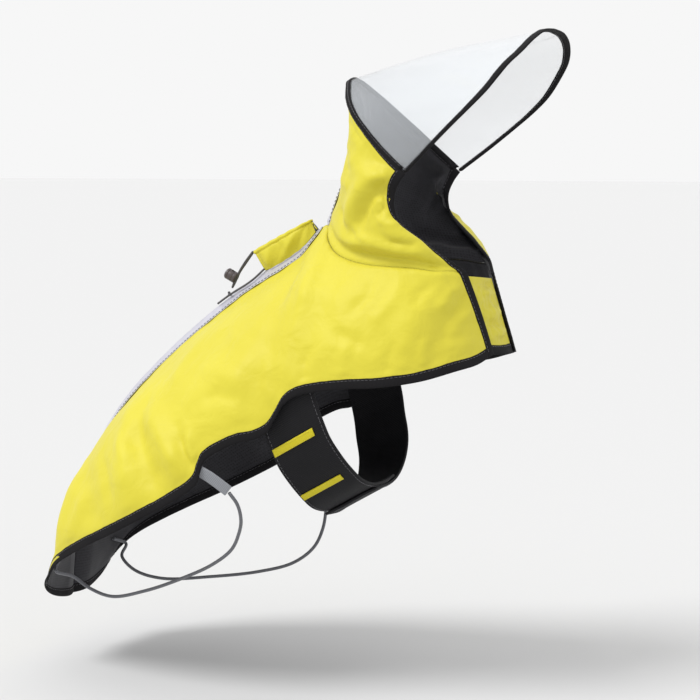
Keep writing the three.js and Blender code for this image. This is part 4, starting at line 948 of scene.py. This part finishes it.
def bindingPiece(name, inner, outer, inside, nodes, seed, thickness=1.0, step=1.8, middle=None):
    # With a middle line the tape lies over a seam, otherwise it is folded over the outer edge.
    overSeam = middle is not None
    middle = (inner + outer) / 2 if middle is None else middle
    inner, middle, outer = resample([inner, middle, outer], step)
    normals = tapeNormals(inner, outer, inside)
    lengths = lengthAlong(outer)
    waver = np.array([noise.noise((place / 17, seed, 0.0)) for place in lengths])
    finer = np.array([noise.noise((place / 6, seed, 4.0)) for place in lengths])
    inner = inner + (inner - outer) * (0.05 * waver + 0.03 * finer)[:, None]
    swell = thickness * (1 + 0.14 * waver + 0.1 * finer)
    profile = np.array(bindingShape["seamProfile" if overSeam else "profile"])
    ring = np.vstack([profile, (profile * [1, -1])[::-1]])
    part = ring[None, :, :1]
    grid = (inner[:, None] * (1 - part) * (1 - 2 * part) + middle[:, None] * 4 * part * (1 - part)
            + outer[:, None] * part * (2 * part - 1) + normals[:, None] * ring[None, :, 1:] * swell[:, None, None])
    piece = gridPiece(name, grid, "binding", closed=True, caps=True)
    fixNormals(piece)
    for node in nodes:
        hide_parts(node)
    runs = [(bindingShape["stitchPlace"], 1, "Outer"), (bindingShape["stitchPlace"], -1, "Inner")]
    if overSeam:
        runs.append((1 - bindingShape["stitchPlace"], 1, "Upper"))
    for place, face, suffix in runs:
        line = (inner * (1 - place) * (1 - 2 * place) + middle * 4 * place * (1 - place)
                + outer * place * (2 * place - 1) + normals * face * 0.98 * swell[:, None])
        thread = stitchPiece(name + "Stitch" + suffix, line, normals * face, "blackThread",
                             bindingShape["stitchRadius"], bindingShape["stitchPitch"], bindingShape["stitchLength"])
    return piece


def fixNormals(piece):
    bpy.ops.object.select_all(action="DESELECT")
    piece.select_set(True)
    bpy.context.view_layer.objects.active = piece
    bpy.ops.object.mode_set(mode="EDIT")
    bpy.ops.mesh.select_all(action="SELECT")
    bpy.ops.mesh.normals_make_consistent(inside=False)
    bpy.ops.object.mode_set(mode="OBJECT")


def frontBindingLines(side):
    width = cloth["bindingWidth"]
    ups = np.linspace(1, 0, 60)
    inner = insetPlace(lambda forward: hoodPoint(side, np.full(ups.shape, forward), ups, False),
                       1, -1, width, 0.25, len(ups))
    hoodInner, hoodOuter = hoodPoint(side, inner, ups, False), hoodPoint(side, np.ones(ups.shape), ups, False)
    downs = np.linspace(0, 1, 40)[1:]
    inner = insetPlace(lambda section: bodyPoint(side, np.full(downs.shape, section), downs, False),
                       0, 1, width, 2.5, len(downs))
    bodyInner = bodyPoint(side, inner, downs, False)
    bodyOuter = bodyPoint(side, np.zeros(downs.shape), downs, False)
    return np.vstack([hoodInner, bodyInner]), np.vstack([hoodOuter, bodyOuter])


def hemBindingLines(side):
    width = cloth["bindingWidth"]
    one = np.ones(1)
    first = insetPlace(lambda section: bodyPoint(side, section * one, one, False), 0, 1, width + 0.3, 3, 1)[0]
    last = insetPlace(lambda section: bodyPoint(side, section * one, one, False), tailEnd, -1, width, 2, 1)[0]
    sections = np.linspace(first, last, 230)
    places = insetPlace(lambda down: bodyPoint(side, sections, np.full(sections.shape, down), False),
                        1, -1, width, 0.3, len(sections))
    inner = bodyPoint(side, sections, places, False)
    outer = bodyPoint(side, sections, np.ones(sections.shape), False)
    low = places[-1]
    corner = inner[-1]
    turns = np.linspace(0, 1, 9)[1:-1] * math.pi / 2
    cornerOuter = bodyPoint(side, last + (tailEnd - last) * np.sin(turns), low + (1 - low) * np.cos(turns), False)
    cornerInner = corner + (cornerOuter - corner) * 0.16
    downs = np.linspace(low, 0, 40)
    places = insetPlace(lambda section: bodyPoint(side, np.full(downs.shape, section), downs, False),
                        tailEnd, -1, width, 2, len(downs))
    tailInner = bodyPoint(side, places, downs, False)
    tailOuter = bodyPoint(side, np.full(downs.shape, tailEnd), downs, False)
    return np.vstack([inner, cornerInner, tailInner]), np.vstack([outer, cornerOuter, tailOuter])


def addBindings():
    made = {}
    for side, sideName in ((rightSide, "right"), (leftSide, "left")):
        inner, outer = frontBindingLines(side)
        made["front" + sideName] = bindingPiece("frontBinding_" + sideName, inner, outer, insideHood,
                                                ["front_binding_" + sideName], 1.5 + side)
    rightInner, rightOuter = hemBindingLines(rightSide)
    leftInner, leftOuter = hemBindingLines(leftSide)
    made["hem"] = bindingPiece("hemBinding", np.vstack([rightInner, leftInner[::-1][1:]]),
                               np.vstack([rightOuter, leftOuter[::-1][1:]]), insideBody, ["hem_binding"], 6.2)
    return made


bindings = addBindings()
print("bindings ready")

# The clear visor, a single sheet under its two bindings.


def bothSides(line, values):
    # Points for signed places across the middle: negative on the right.
    right, left = values[values < 0], values[values >= 0]
    return np.vstack([line(rightSide, -right), line(leftSide, left)])


def visorGrid():
    across = np.linspace(-0.965, 0.965, 150)
    parts = []
    for side, sideways in ((rightSide, -across[across < 0]), (leftSide, across[across >= 0])):
        first = insetPlace(lambda out: visorPoint(side, sideways, np.full(sideways.shape, out)),
                           0, 1, 2.4, 0.9, len(sideways))
        last = insetPlace(lambda out: visorPoint(side, sideways, np.full(sideways.shape, out)),
                          1, -1, 2.6, 0.9, len(sideways))
        part = np.linspace(0, 1, 44)
        out = first[:, None] + (last - first)[:, None] * part[None, :]
        parts.append(visorPoint(side, sideways[:, None] + 0 * out, out))
    grid = np.vstack(parts)
    normals = gridNormals(grid, insideVisor)
    fromSeam, along = gridLengths(grid, 1), gridLengths(grid, 0)
    lift = 0.7 * softNoise(grid, 38.0, 3.3) * edgeFade(fromSeam, 15) + pucker(fromSeam, along, 9.0, 10.0, 0.5, 2.2)
    return grid + normals * lift[..., None]


def addVisor():
    piece = gridPiece("visorFilm", visorGrid(), "film", inside=insideVisor)
    giveWall(piece, cloth["visorWall"])
    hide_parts("visor")
    return piece


def seamTapeLines():
    across = np.linspace(-0.955, 0.955, 160)
    half = cloth["bindingWidth"] / 2

    def hoodLine(side, sideways):
        up = insetPlace(lambda place: hoodPoint(side, sideways, np.full(sideways.shape, place), False),
                        1, -1, half, 0.1, len(sideways))
        return hoodPoint(side, sideways, up, False)

    def visorLine(side, sideways):
        out = insetPlace(lambda place: visorPoint(side, sideways, np.full(sideways.shape, place)),
                         0, 1, half, 0.8, len(sideways))
        return visorPoint(side, sideways, out)

    def middleLine(side, sideways):
        return linePoint(side, visorSeamLine, sideways)

    return bothSides(hoodLine, across), bothSides(middleLine, across), bothSides(visorLine, across)


def rimTapeLines():
    across = np.linspace(-0.985, 0.985, 300)

    def innerLine(side, sideways):
        near = np.minimum(sideways, 0.97)
        out = insetPlace(lambda place: visorPoint(side, near, np.full(near.shape, place)),
                         1, -1, cloth["rimBindingWidth"], 0.95, len(near))
        clear = np.where(sideways > 0.93, 0.8, cloth["bindingWidth"] / 2 + 1)
        lowest = insetPlace(lambda place: visorPoint(side, np.minimum(sideways, 0.985), np.full(near.shape, place)),
                            0, 1, clear, 0.95, len(near))
        return visorPoint(side, sideways, np.clip(out, np.minimum(lowest, 0.97), 0.97))

    def outerLine(side, sideways):
        return visorPoint(side, sideways, np.ones(sideways.shape))

    return bothSides(innerLine, across), bothSides(outerLine, across)


visorPiece = addVisor()
hoodEdge, seamMiddle, visorEdge = seamTapeLines()
bindings["visorSeam"] = bindingPiece("visorSeamBinding", hoodEdge, visorEdge, insideHood,
                                     ["visor_seam_binding"], 9.1, middle=seamMiddle)
rimInner, rimOuter = rimTapeLines()
bindings["visorRim"] = bindingPiece("visorRimBinding", rimInner, rimOuter, insideVisor, ["visor_rim_binding"], 3.7,
                                    thickness=0.95)
print("visor ready")

# Reflective strips over the back seams.

strips = {
    "halfWidth": 12.5,
    "wall": 0.6,
    "lift": 1.25,
    "stitchInset": 1.4,
}


def backLine(section, sideways):
    # Points of the back at a real distance to the side of the middle: negative on the right.
    side = rightSide if np.mean(sideways) < 0 else leftSide
    down = insetPlace(lambda place: bodyPoint(side, section, np.full(section.shape, place), False),
                      0, 1, np.abs(sideways), 0.3, len(section))
    return bodyPoint(side, section, down, False)


def hoodBackLineAt(up, sideways):
    side = rightSide if sideways < 0 else leftSide
    forward = insetPlace(lambda place: hoodPoint(side, np.full(up.shape, place), up, False),
                         0, 1, abs(sideways), 0.3, len(up))
    return hoodPoint(side, forward, up, False)


def stripPiece(name, line, places, inside, node, seed, slit):
    half = strips["halfWidth"]
    sideways = np.concatenate([np.linspace(-half, -0.01, 12), np.linspace(0.01, half, 12)])
    grid = np.stack([line(places, value) for value in sideways], axis=1)
    if slit:
        least = np.where(grid[..., 2] > -20, slitHalfWidth(grid[..., 0]), 0)
        for column, sign in ((11, -1), (12, 1)):
            grid[:, column, 1] = sign * np.maximum(least[:, column], 0.01)
        for column, sign in ((10, -1), (13, 1)):
            grid[:, column, 1] = sign * np.maximum(sign * grid[:, column, 1], least[:, column] + 0.5)
    normals = gridNormals(grid, inside)
    along = gridLengths(grid, 0)
    edge = half - np.abs(sideways)[None, :] + 0 * along
    lift = strips["lift"] + pucker(edge, along, 8.0, 4.0, 0.45, seed) + 0.25 * softNoise(grid, 14.0, seed)
    grid = grid + normals * lift[..., None]
    open_ = (lambda row, column: column == 11 and abs(grid[row, 11, 1]) > 0.3) if slit else None
    piece = gridPiece(name, grid, "reflective", inside=inside, skip=open_)
    giveWall(piece, strips["wall"])
    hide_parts(node)
    outer = grid + normals * strips["wall"] * 0.5
    for sign, suffix in ((-1, "Right"), (1, "Left")):
        reach = sign * (half - strips["stitchInset"])
        column = int(np.argmin(np.abs(sideways - reach)))
        thread = stitchPiece(name + "Stitch" + suffix, outer[:, column], normals[:, column], "darkThread",
                             0.34, 3.6, 2.6)
    return piece


backStrip = stripPiece("reflectiveStripBack", backLine, np.linspace(9.2, 22.45, 170), insideBody,
                       "reflective_strip_back", 2.9, True)
hoodStrip = stripPiece("reflectiveStripHood", hoodBackLineAt, np.linspace(0.045, 0.945, 60), insideHood,
                       "reflective_strip_hood", 7.7, False)
print("reflective strips ready")

# The leash port's gathered sleeve.

sleeve = {
    "around": 132,
    "rings": 30,
    "wall": 1.0,
    "baseStand": 2.4,
    "bulge": 0.5,
    "pleats": 15,
    "pleatDepth": 0.55,
    "channelFrom": 0.84,
    "channelSwell": 0.9,
    # Slanting folds: angle round the sleeve in turns, its change over the height, depth.
    "folds": [(0.70, 0.16, 1.5), (0.80, 0.12, -1.2), (0.60, 0.10, 1.1), (0.24, -0.14, 1.4), (0.34, -0.1, -1.2),
              (0.9, 0.05, -0.9), (0.1, 0.08, 1.0)],
    "foldWidth": 0.028,
}


def sleeveGrid():
    angle = np.linspace(0, 2 * math.pi, sleeve["around"], endpoint=False)
    middle = (port["baseFrom"] + port["baseTo"]) / 2
    reach = (port["baseTo"] - port["baseFrom"]) / 2
    section = middle - reach * np.cos(angle)
    sideways = port["baseHalfWidth"] * np.sin(angle)
    base = np.zeros((len(angle), 3))
    for chosen in (sideways < 0, sideways >= 0):
        base[chosen] = backLine(section[chosen], sideways[chosen])
    base = base + np.array(port["outward"]) * sleeve["baseStand"]
    along = port["rimHalfLength"] * np.cos(angle)
    rim = np.stack([port["rimMiddle"][0] + along * port["rimAlong"][0], port["rimHalfWidth"] * np.sin(angle),
                    port["rimMiddle"][1] + along * port["rimAlong"][1]], axis=1)
    height = np.linspace(0, 1, sleeve["rings"])
    grid = base[None] + (rim - base)[None] * height[:, None, None]
    grid[..., 1] *= (1 + sleeve["bulge"] * np.sin(math.pi * height))[:, None]
    normals = gridNormals(grid, (37, 0, 36), closed=True)
    pleat = np.sin(angle * sleeve["pleats"] + 1.3 * np.sin(angle * 4))[None, :]
    lift = sleeve["pleatDepth"] * pleat * (0.25 + 0.75 * height[:, None] ** 1.5)
    lift = lift + 0.9 * softNoise(grid, 11.0, 5.5) * np.sin(math.pi * height)[:, None]
    turns = angle[None, :] / (2 * math.pi)
    for place, slant, depth in sleeve["folds"]:
        away = (turns - place - slant * height[:, None] + 0.5) % 1 - 0.5
        lift = lift + depth * np.exp(-((away / sleeve["foldWidth"]) ** 2)) * np.sin(math.pi * height)[:, None]
    channel = np.clip((height - sleeve["channelFrom"]) / (1 - sleeve["channelFrom"]), 0, 1)
    lift = lift + (sleeve["channelSwell"] * np.sin(math.pi * channel) * (height > sleeve["channelFrom"]))[:, None]
    seam = np.exp(-(((height - sleeve["channelFrom"]) / 0.03) ** 2))
    lift = lift - 0.7 * seam[:, None]
    return grid + normals * lift[..., None], normals


def addSleeve():
    grid, normals = sleeveGrid()
    piece = gridPiece("portSleeve", grid, "cloth", closed=True, inside=(37, 0, 36))
    giveWall(piece, sleeve["wall"], "lining")
    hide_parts("port_sleeve")
    row = int(sleeve["channelFrom"] * sleeve["rings"]) - 1
    ringNormals = np.vstack([normals[row], normals[row][:1]])
    loop = np.vstack([grid[row], grid[row][:1]]) + ringNormals * sleeve["wall"] * 0.5
    thread = stitchPiece("portSleeveStitch", loop, ringNormals, "yellowThread",
                         0.24, 2.6, 1.8)
    return piece, thread


sleevePiece, sleeveThread = addSleeve()
print("leash port ready")

# The gathered flap behind the front edges.

flap = {
    "depth": 2.7,
    "reach": 0.7,
    "shown": (0.3, 0.7),
    "swell": 2.5,
    "gatherLift": 1.6,
    "waves": 4.2,
    "slant": 1.5,
    "top": 0.05,
    "crinkle": 1.5,
}


def insideBodyPoint(side, section, down, depth):
    def surface(a, b):
        return bodyPoint(side, np.clip(a, 0, tailEnd), np.clip(b, 0, 1), False)
    step = 0.004
    a, b = np.maximum(section, 0.02), np.clip(down, 0.01, 0.99)
    normal = np.cross(surface(a + step, b) - surface(a - step, b), surface(a, b + step) - surface(a, b - step))
    normal /= np.linalg.norm(normal, axis=-1)[..., None]
    normal = np.where(normal[..., :1] > 0, -normal, normal)
    return surface(section, down) + normal * depth


def flapPoint(across, down):
    low, high = flap["shown"]
    down = np.asarray(down, float)
    if across <= low:
        section = flap["reach"] * (1 - across / low)
        return insideBodyPoint(rightSide, np.full(down.shape, section), down, flap["depth"])
    if across >= high:
        section = flap["reach"] * (across - high) / (1 - high)
        return insideBodyPoint(leftSide, np.full(down.shape, section), down, flap["depth"])
    part = (across - low) / (high - low)
    start = insideBodyPoint(rightSide, np.zeros(down.shape), down, flap["depth"])
    end = insideBodyPoint(leftSide, np.zeros(down.shape), down, flap["depth"])
    point = start + (end - start) * part
    wave = np.sin(down * flap["waves"] * 2 * math.pi + part * flap["slant"])
    point[..., 0] += math.sin(math.pi * part) * (flap["swell"] + flap["gatherLift"] * wave)
    return point


def flapInset(across, distance):
    # The place down the flap at a real distance above its lower edge.
    downs = np.linspace(1, 0.7, 31)
    return np.interp(distance, lengthAlong(flapPoint(across, downs)), downs)


def addFlap():
    acrossPlaces = np.linspace(0, 1, 84)
    bottoms = [flapInset(across, 4.5) for across in acrossPlaces]
    grid = np.stack([flapPoint(across, flap["top"] + (bottom - flap["top"]) * np.linspace(0, 1, 96))
                     for across, bottom in zip(acrossPlaces, bottoms)])
    normals = gridNormals(grid, insideBody)
    low, high = flap["shown"]
    shown = edgeFade(acrossPlaces - low, 0.05) * edgeFade(high - acrossPlaces, 0.05)
    fromTop = gridLengths(grid, 1)
    clear = edgeFade(fromTop, 6) * underTape(fromTop[:, -1:] - fromTop)
    crinkle = softNoise(grid * np.array([1, 0.5, 1.6]), 9.0, 1.7) + 0.5 * softNoise(grid, 4.5, 6.1)
    lift = flap["crinkle"] * crinkle * shown[:, None] * clear
    piece = gridPiece("frontFlap", grid + normals * lift[..., None], "cloth", inside=insideBody)
    giveWall(piece, 1.0, "lining")
    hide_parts("front_flap")
    places = np.linspace(0, 1, 60)
    inner = np.vstack([flapPoint(across, np.array([flapInset(across, cloth["bindingWidth"])]))
                       for across in places])
    outer = np.vstack([flapPoint(across, np.ones(1)) for across in places])
    bindings["flapHem"] = bindingPiece("flapHemBinding", inner, outer, insideBody, ["flap_hem_binding"], 5.3)
    return piece


flapPiece = addFlap()
print("front flap ready")

# The belly band, its ribbon stripes and the leg-loop tabs.

band = {
    "wide": (46.8, 27),
    "wall": 2.4,
    "depth": 3.4,
    "lapDrop": 3.8,
    "lapStart": 7.6,
    # Columns: x and z of the rear edge, greatest half width.
    "rows": np.array([(47, -62, 96), (51, -78, 97), (56, -95, 97), (61, -112, 95.5), (66, -128.6, 92),
                      (70, -143, 86.5), (76.5, -158.6, 77), (81, -172, 63.5), (83.5, -182, 48), (84.5, -188, 27),
                      (85, -190, 4), (84.5, -188.5, -22)]),
    "coveredRows": 4,
    "stripePlaces": (4.12, 6.85),
    "stripeStart": 0.03,
    "stripeLength": 0.76,
    "stripeWidth": 6.8,
    "stripeWall": 0.9,
}
insideBand = (90, 0, -110)


def bandPoint(side, place, across):
    place, across = np.broadcast_arrays(np.asarray(place, float), np.asarray(across, float))
    row = rowAt(band["rows"], place)
    x, z = row[..., 0] + band["wide"][0] * across, row[..., 1] + band["wide"][1] * across
    width = row[..., 2].copy()
    covered = np.argwhere(place < band["coveredRows"])
    if len(covered):
        section, down = np.meshgrid(np.linspace(3, 16, 90), np.linspace(0.3, 1, 60), indexing="ij")
        wall = bodyPoint(side, section, down, False).reshape(-1, 3)
        for index in covered:
            index = tuple(index)
            away = np.hypot(wall[:, 0] - x[index], wall[:, 2] - z[index])
            nearest = int(np.argmin(away))
            if away[nearest] < 6:
                width[index] = min(width[index], abs(wall[nearest, 1]) - band["depth"])
    if side == leftSide:
        z = z - band["lapDrop"] * edgeFade(place - band["lapStart"], 1.5)
    return np.stack([x, side * width, z], axis=-1)


def addBand(side, sideName):
    rows, columns = np.meshgrid(np.linspace(0, 11, 100), np.linspace(0, 1, 22), indexing="ij")
    grid = bandPoint(side, rows, columns)
    for _ in range(3):
        grid[1:-1] = (grid[:-2] + 2 * grid[1:-1] + grid[2:]) / 4
    normals = gridNormals(grid, insideBand)
    grid = grid + normals * (0.5 * softNoise(grid, 24.0, side * 2.0) * edgeFade(rows - 1, 3))[..., None]
    piece = gridPiece("bellyBand_" + sideName, grid, "webbing", inside=insideBand)
    giveWall(piece, band["wall"])
    applyModifier(piece, "BEVEL", width=0.0007, segments=2, limit_method="ANGLE", angle_limit=math.radians(50))
    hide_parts("belly_band_" + sideName)
    for column, suffix in ((1, "Rear"), (20, "Front")):
        line = grid[8:-2, column] + normals[8:-2, column] * band["wall"] * 0.5
        thread = stitchPiece("bellyBandStitch" + suffix + "_" + sideName, line, normals[8:-2, column],
                             "blackThread", 0.3, 3.6, 2.6)


def addStripe(side, sideName, level, place):
    along = np.linalg.norm(bandPoint(side, place + 0.1, 0.0) - bandPoint(side, place - 0.1, 0.0)) / 0.2
    half = band["stripeWidth"] / 2 / along
    rows, columns = np.meshgrid(np.linspace(place - half, place + half, 10),
                                band["stripeStart"] + np.linspace(0, band["stripeLength"], 40), indexing="ij")
    grid = bandPoint(side, rows, columns)
    normals = gridNormals(grid, insideBand)
    edge = np.minimum(rows - rows.min(), rows.max() - rows) / half
    lift = band["wall"] / 2 + 0.55 - 0.25 * (1 - edgeFade(edge, 0.25)) + 0.12 * softNoise(grid, 7.0, place)
    grid = grid + normals * lift[..., None]
    piece = gridPiece("bandStripe_" + sideName + "_" + level, grid, "stripe", inside=insideBand)
    giveWall(piece, band["stripeWall"])
    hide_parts("band_stripe_" + sideName + "_" + level)
    for row, suffix in ((1, "A"), (8, "B")):
        thread = stitchPiece("bandStripeStitch" + suffix + "_" + sideName + "_" + level,
                             grid[row] + normals[row] * 0.42, normals[row], "yellowThread", 0.22, 2.6, 1.9)


def addTab(side, sideName):
    middles = np.array([(-4.7, side * 110.1, -134.9), (4.5, side * 111.1, -142.8), (17, side * 108, -150.5),
                        (31.2, side * 102.6, -162)])
    line = curveThrough(middles, 30)
    across = np.array([0.62, 0, 0.78]) * 10
    spread = np.linspace(-0.5, 0.5, 9)
    grid = line[:, None] + across[None, None] * spread[None, :, None]
    piece = gridPiece("legTab_" + sideName, grid, "tab", inside=insideBody)
    giveWall(piece, 1.5)
    applyModifier(piece, "BEVEL", width=0.0005, segments=2, limit_method="ANGLE", angle_limit=math.radians(50))
    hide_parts("leg_tab_" + sideName)


for side, sideName in ((rightSide, "right"), (leftSide, "left")):
    addBand(side, sideName)
    addStripe(side, sideName, "upper", band["stripePlaces"][0])
    addStripe(side, sideName, "lower", band["stripePlaces"][1])
    addTab(side, sideName)
print("belly band and leg loops ready")

# The cord lock: a barrel with a cross hole for the cord, and its push button.

cordLock = {
    "place": (-7.8, -3, 7.6),
    "tilt": 62.6,
    # Columns: radius, height.
    "barrel": [(4.3, -5.0), (4.8, -4.75), (5.0, -4.2), (5.0, -2.6), (4.7, -2.3), (4.7, -1.9), (5.0, -1.6), (5.0, 2.0),
               (4.7, 2.3), (4.7, 2.7), (5.0, 3.0), (5.0, 4.3), (4.8, 4.8), (4.3, 5.0), (3.6, 5.0), (3.45, 4.8),
               (3.45, -3.6)],
    "button": [(3.2, -2.8), (3.2, 5.4), (3.5, 5.7), (4.0, 5.9), (4.2, 6.3), (4.2, 7.3), (4.0, 7.8), (3.4, 8.2),
               (2.6, 8.35), (2.4, 8.1), (1.0, 8.0)],
    "hole": (4.7, 2.9),
}


def turnedPiece(name, profile, finish):
    bpy.ops.object.select_all(action="DESELECT")
    radius, height = profile[0]
    bpy.ops.mesh.primitive_circle_add(vertices=48, radius=radius * mm, fill_type="NGON",
                                      location=(0, 0, height * mm))
    piece = bpy.context.object
    piece.name = name
    bpy.ops.object.mode_set(mode="EDIT")
    bpy.ops.mesh.select_all(action="SELECT")
    for nextRadius, nextHeight in profile[1:]:
        bpy.ops.mesh.extrude_region_move(TRANSFORM_OT_translate={"value": (0, 0, (nextHeight - height) * mm)})
        share = nextRadius / radius
        bpy.ops.transform.resize(value=(share, share, 1))
        radius, height = nextRadius, nextHeight
    bpy.ops.mesh.select_all(action="SELECT")
    bpy.ops.mesh.normals_make_consistent(inside=False)
    bpy.ops.object.mode_set(mode="OBJECT")
    bpy.ops.mesh.primitive_cylinder_add(vertices=32, radius=0.5, depth=30 * mm, rotation=(0, math.pi / 2, 0))
    cutter = bpy.context.object
    cutter.scale = (cordLock["hole"][1] * mm, cordLock["hole"][0] * mm, 1)
    bpy.ops.object.transform_apply(location=True, rotation=True, scale=True)
    applyModifier(piece, "BOOLEAN", operation="DIFFERENCE", object=cutter, solver="EXACT")
    bpy.data.objects.remove(cutter)
    applyModifier(piece, "BEVEL", width=0.00012, segments=2, limit_method="ANGLE", angle_limit=math.radians(40))
    piece.rotation_euler = (0, -math.radians(cordLock["tilt"]), 0)
    piece.location = [value * mm for value in cordLock["place"]]
    bpy.ops.object.transform_apply(location=True, rotation=True, scale=True)
    bpy.ops.object.shade_smooth_by_angle(angle=math.radians(38))
    piece.data.materials.clear()
    piece.data.materials.append(finishes[finish])
    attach(piece, "root")
    return piece


barrel = turnedPiece("cordLockBarrel", cordLock["barrel"], "barrel")
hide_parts("cord_lock_barrel")
button = turnedPiece("cordLockButton", cordLock["button"], "button")
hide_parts("cord_lock_button")
print("cord lock ready")
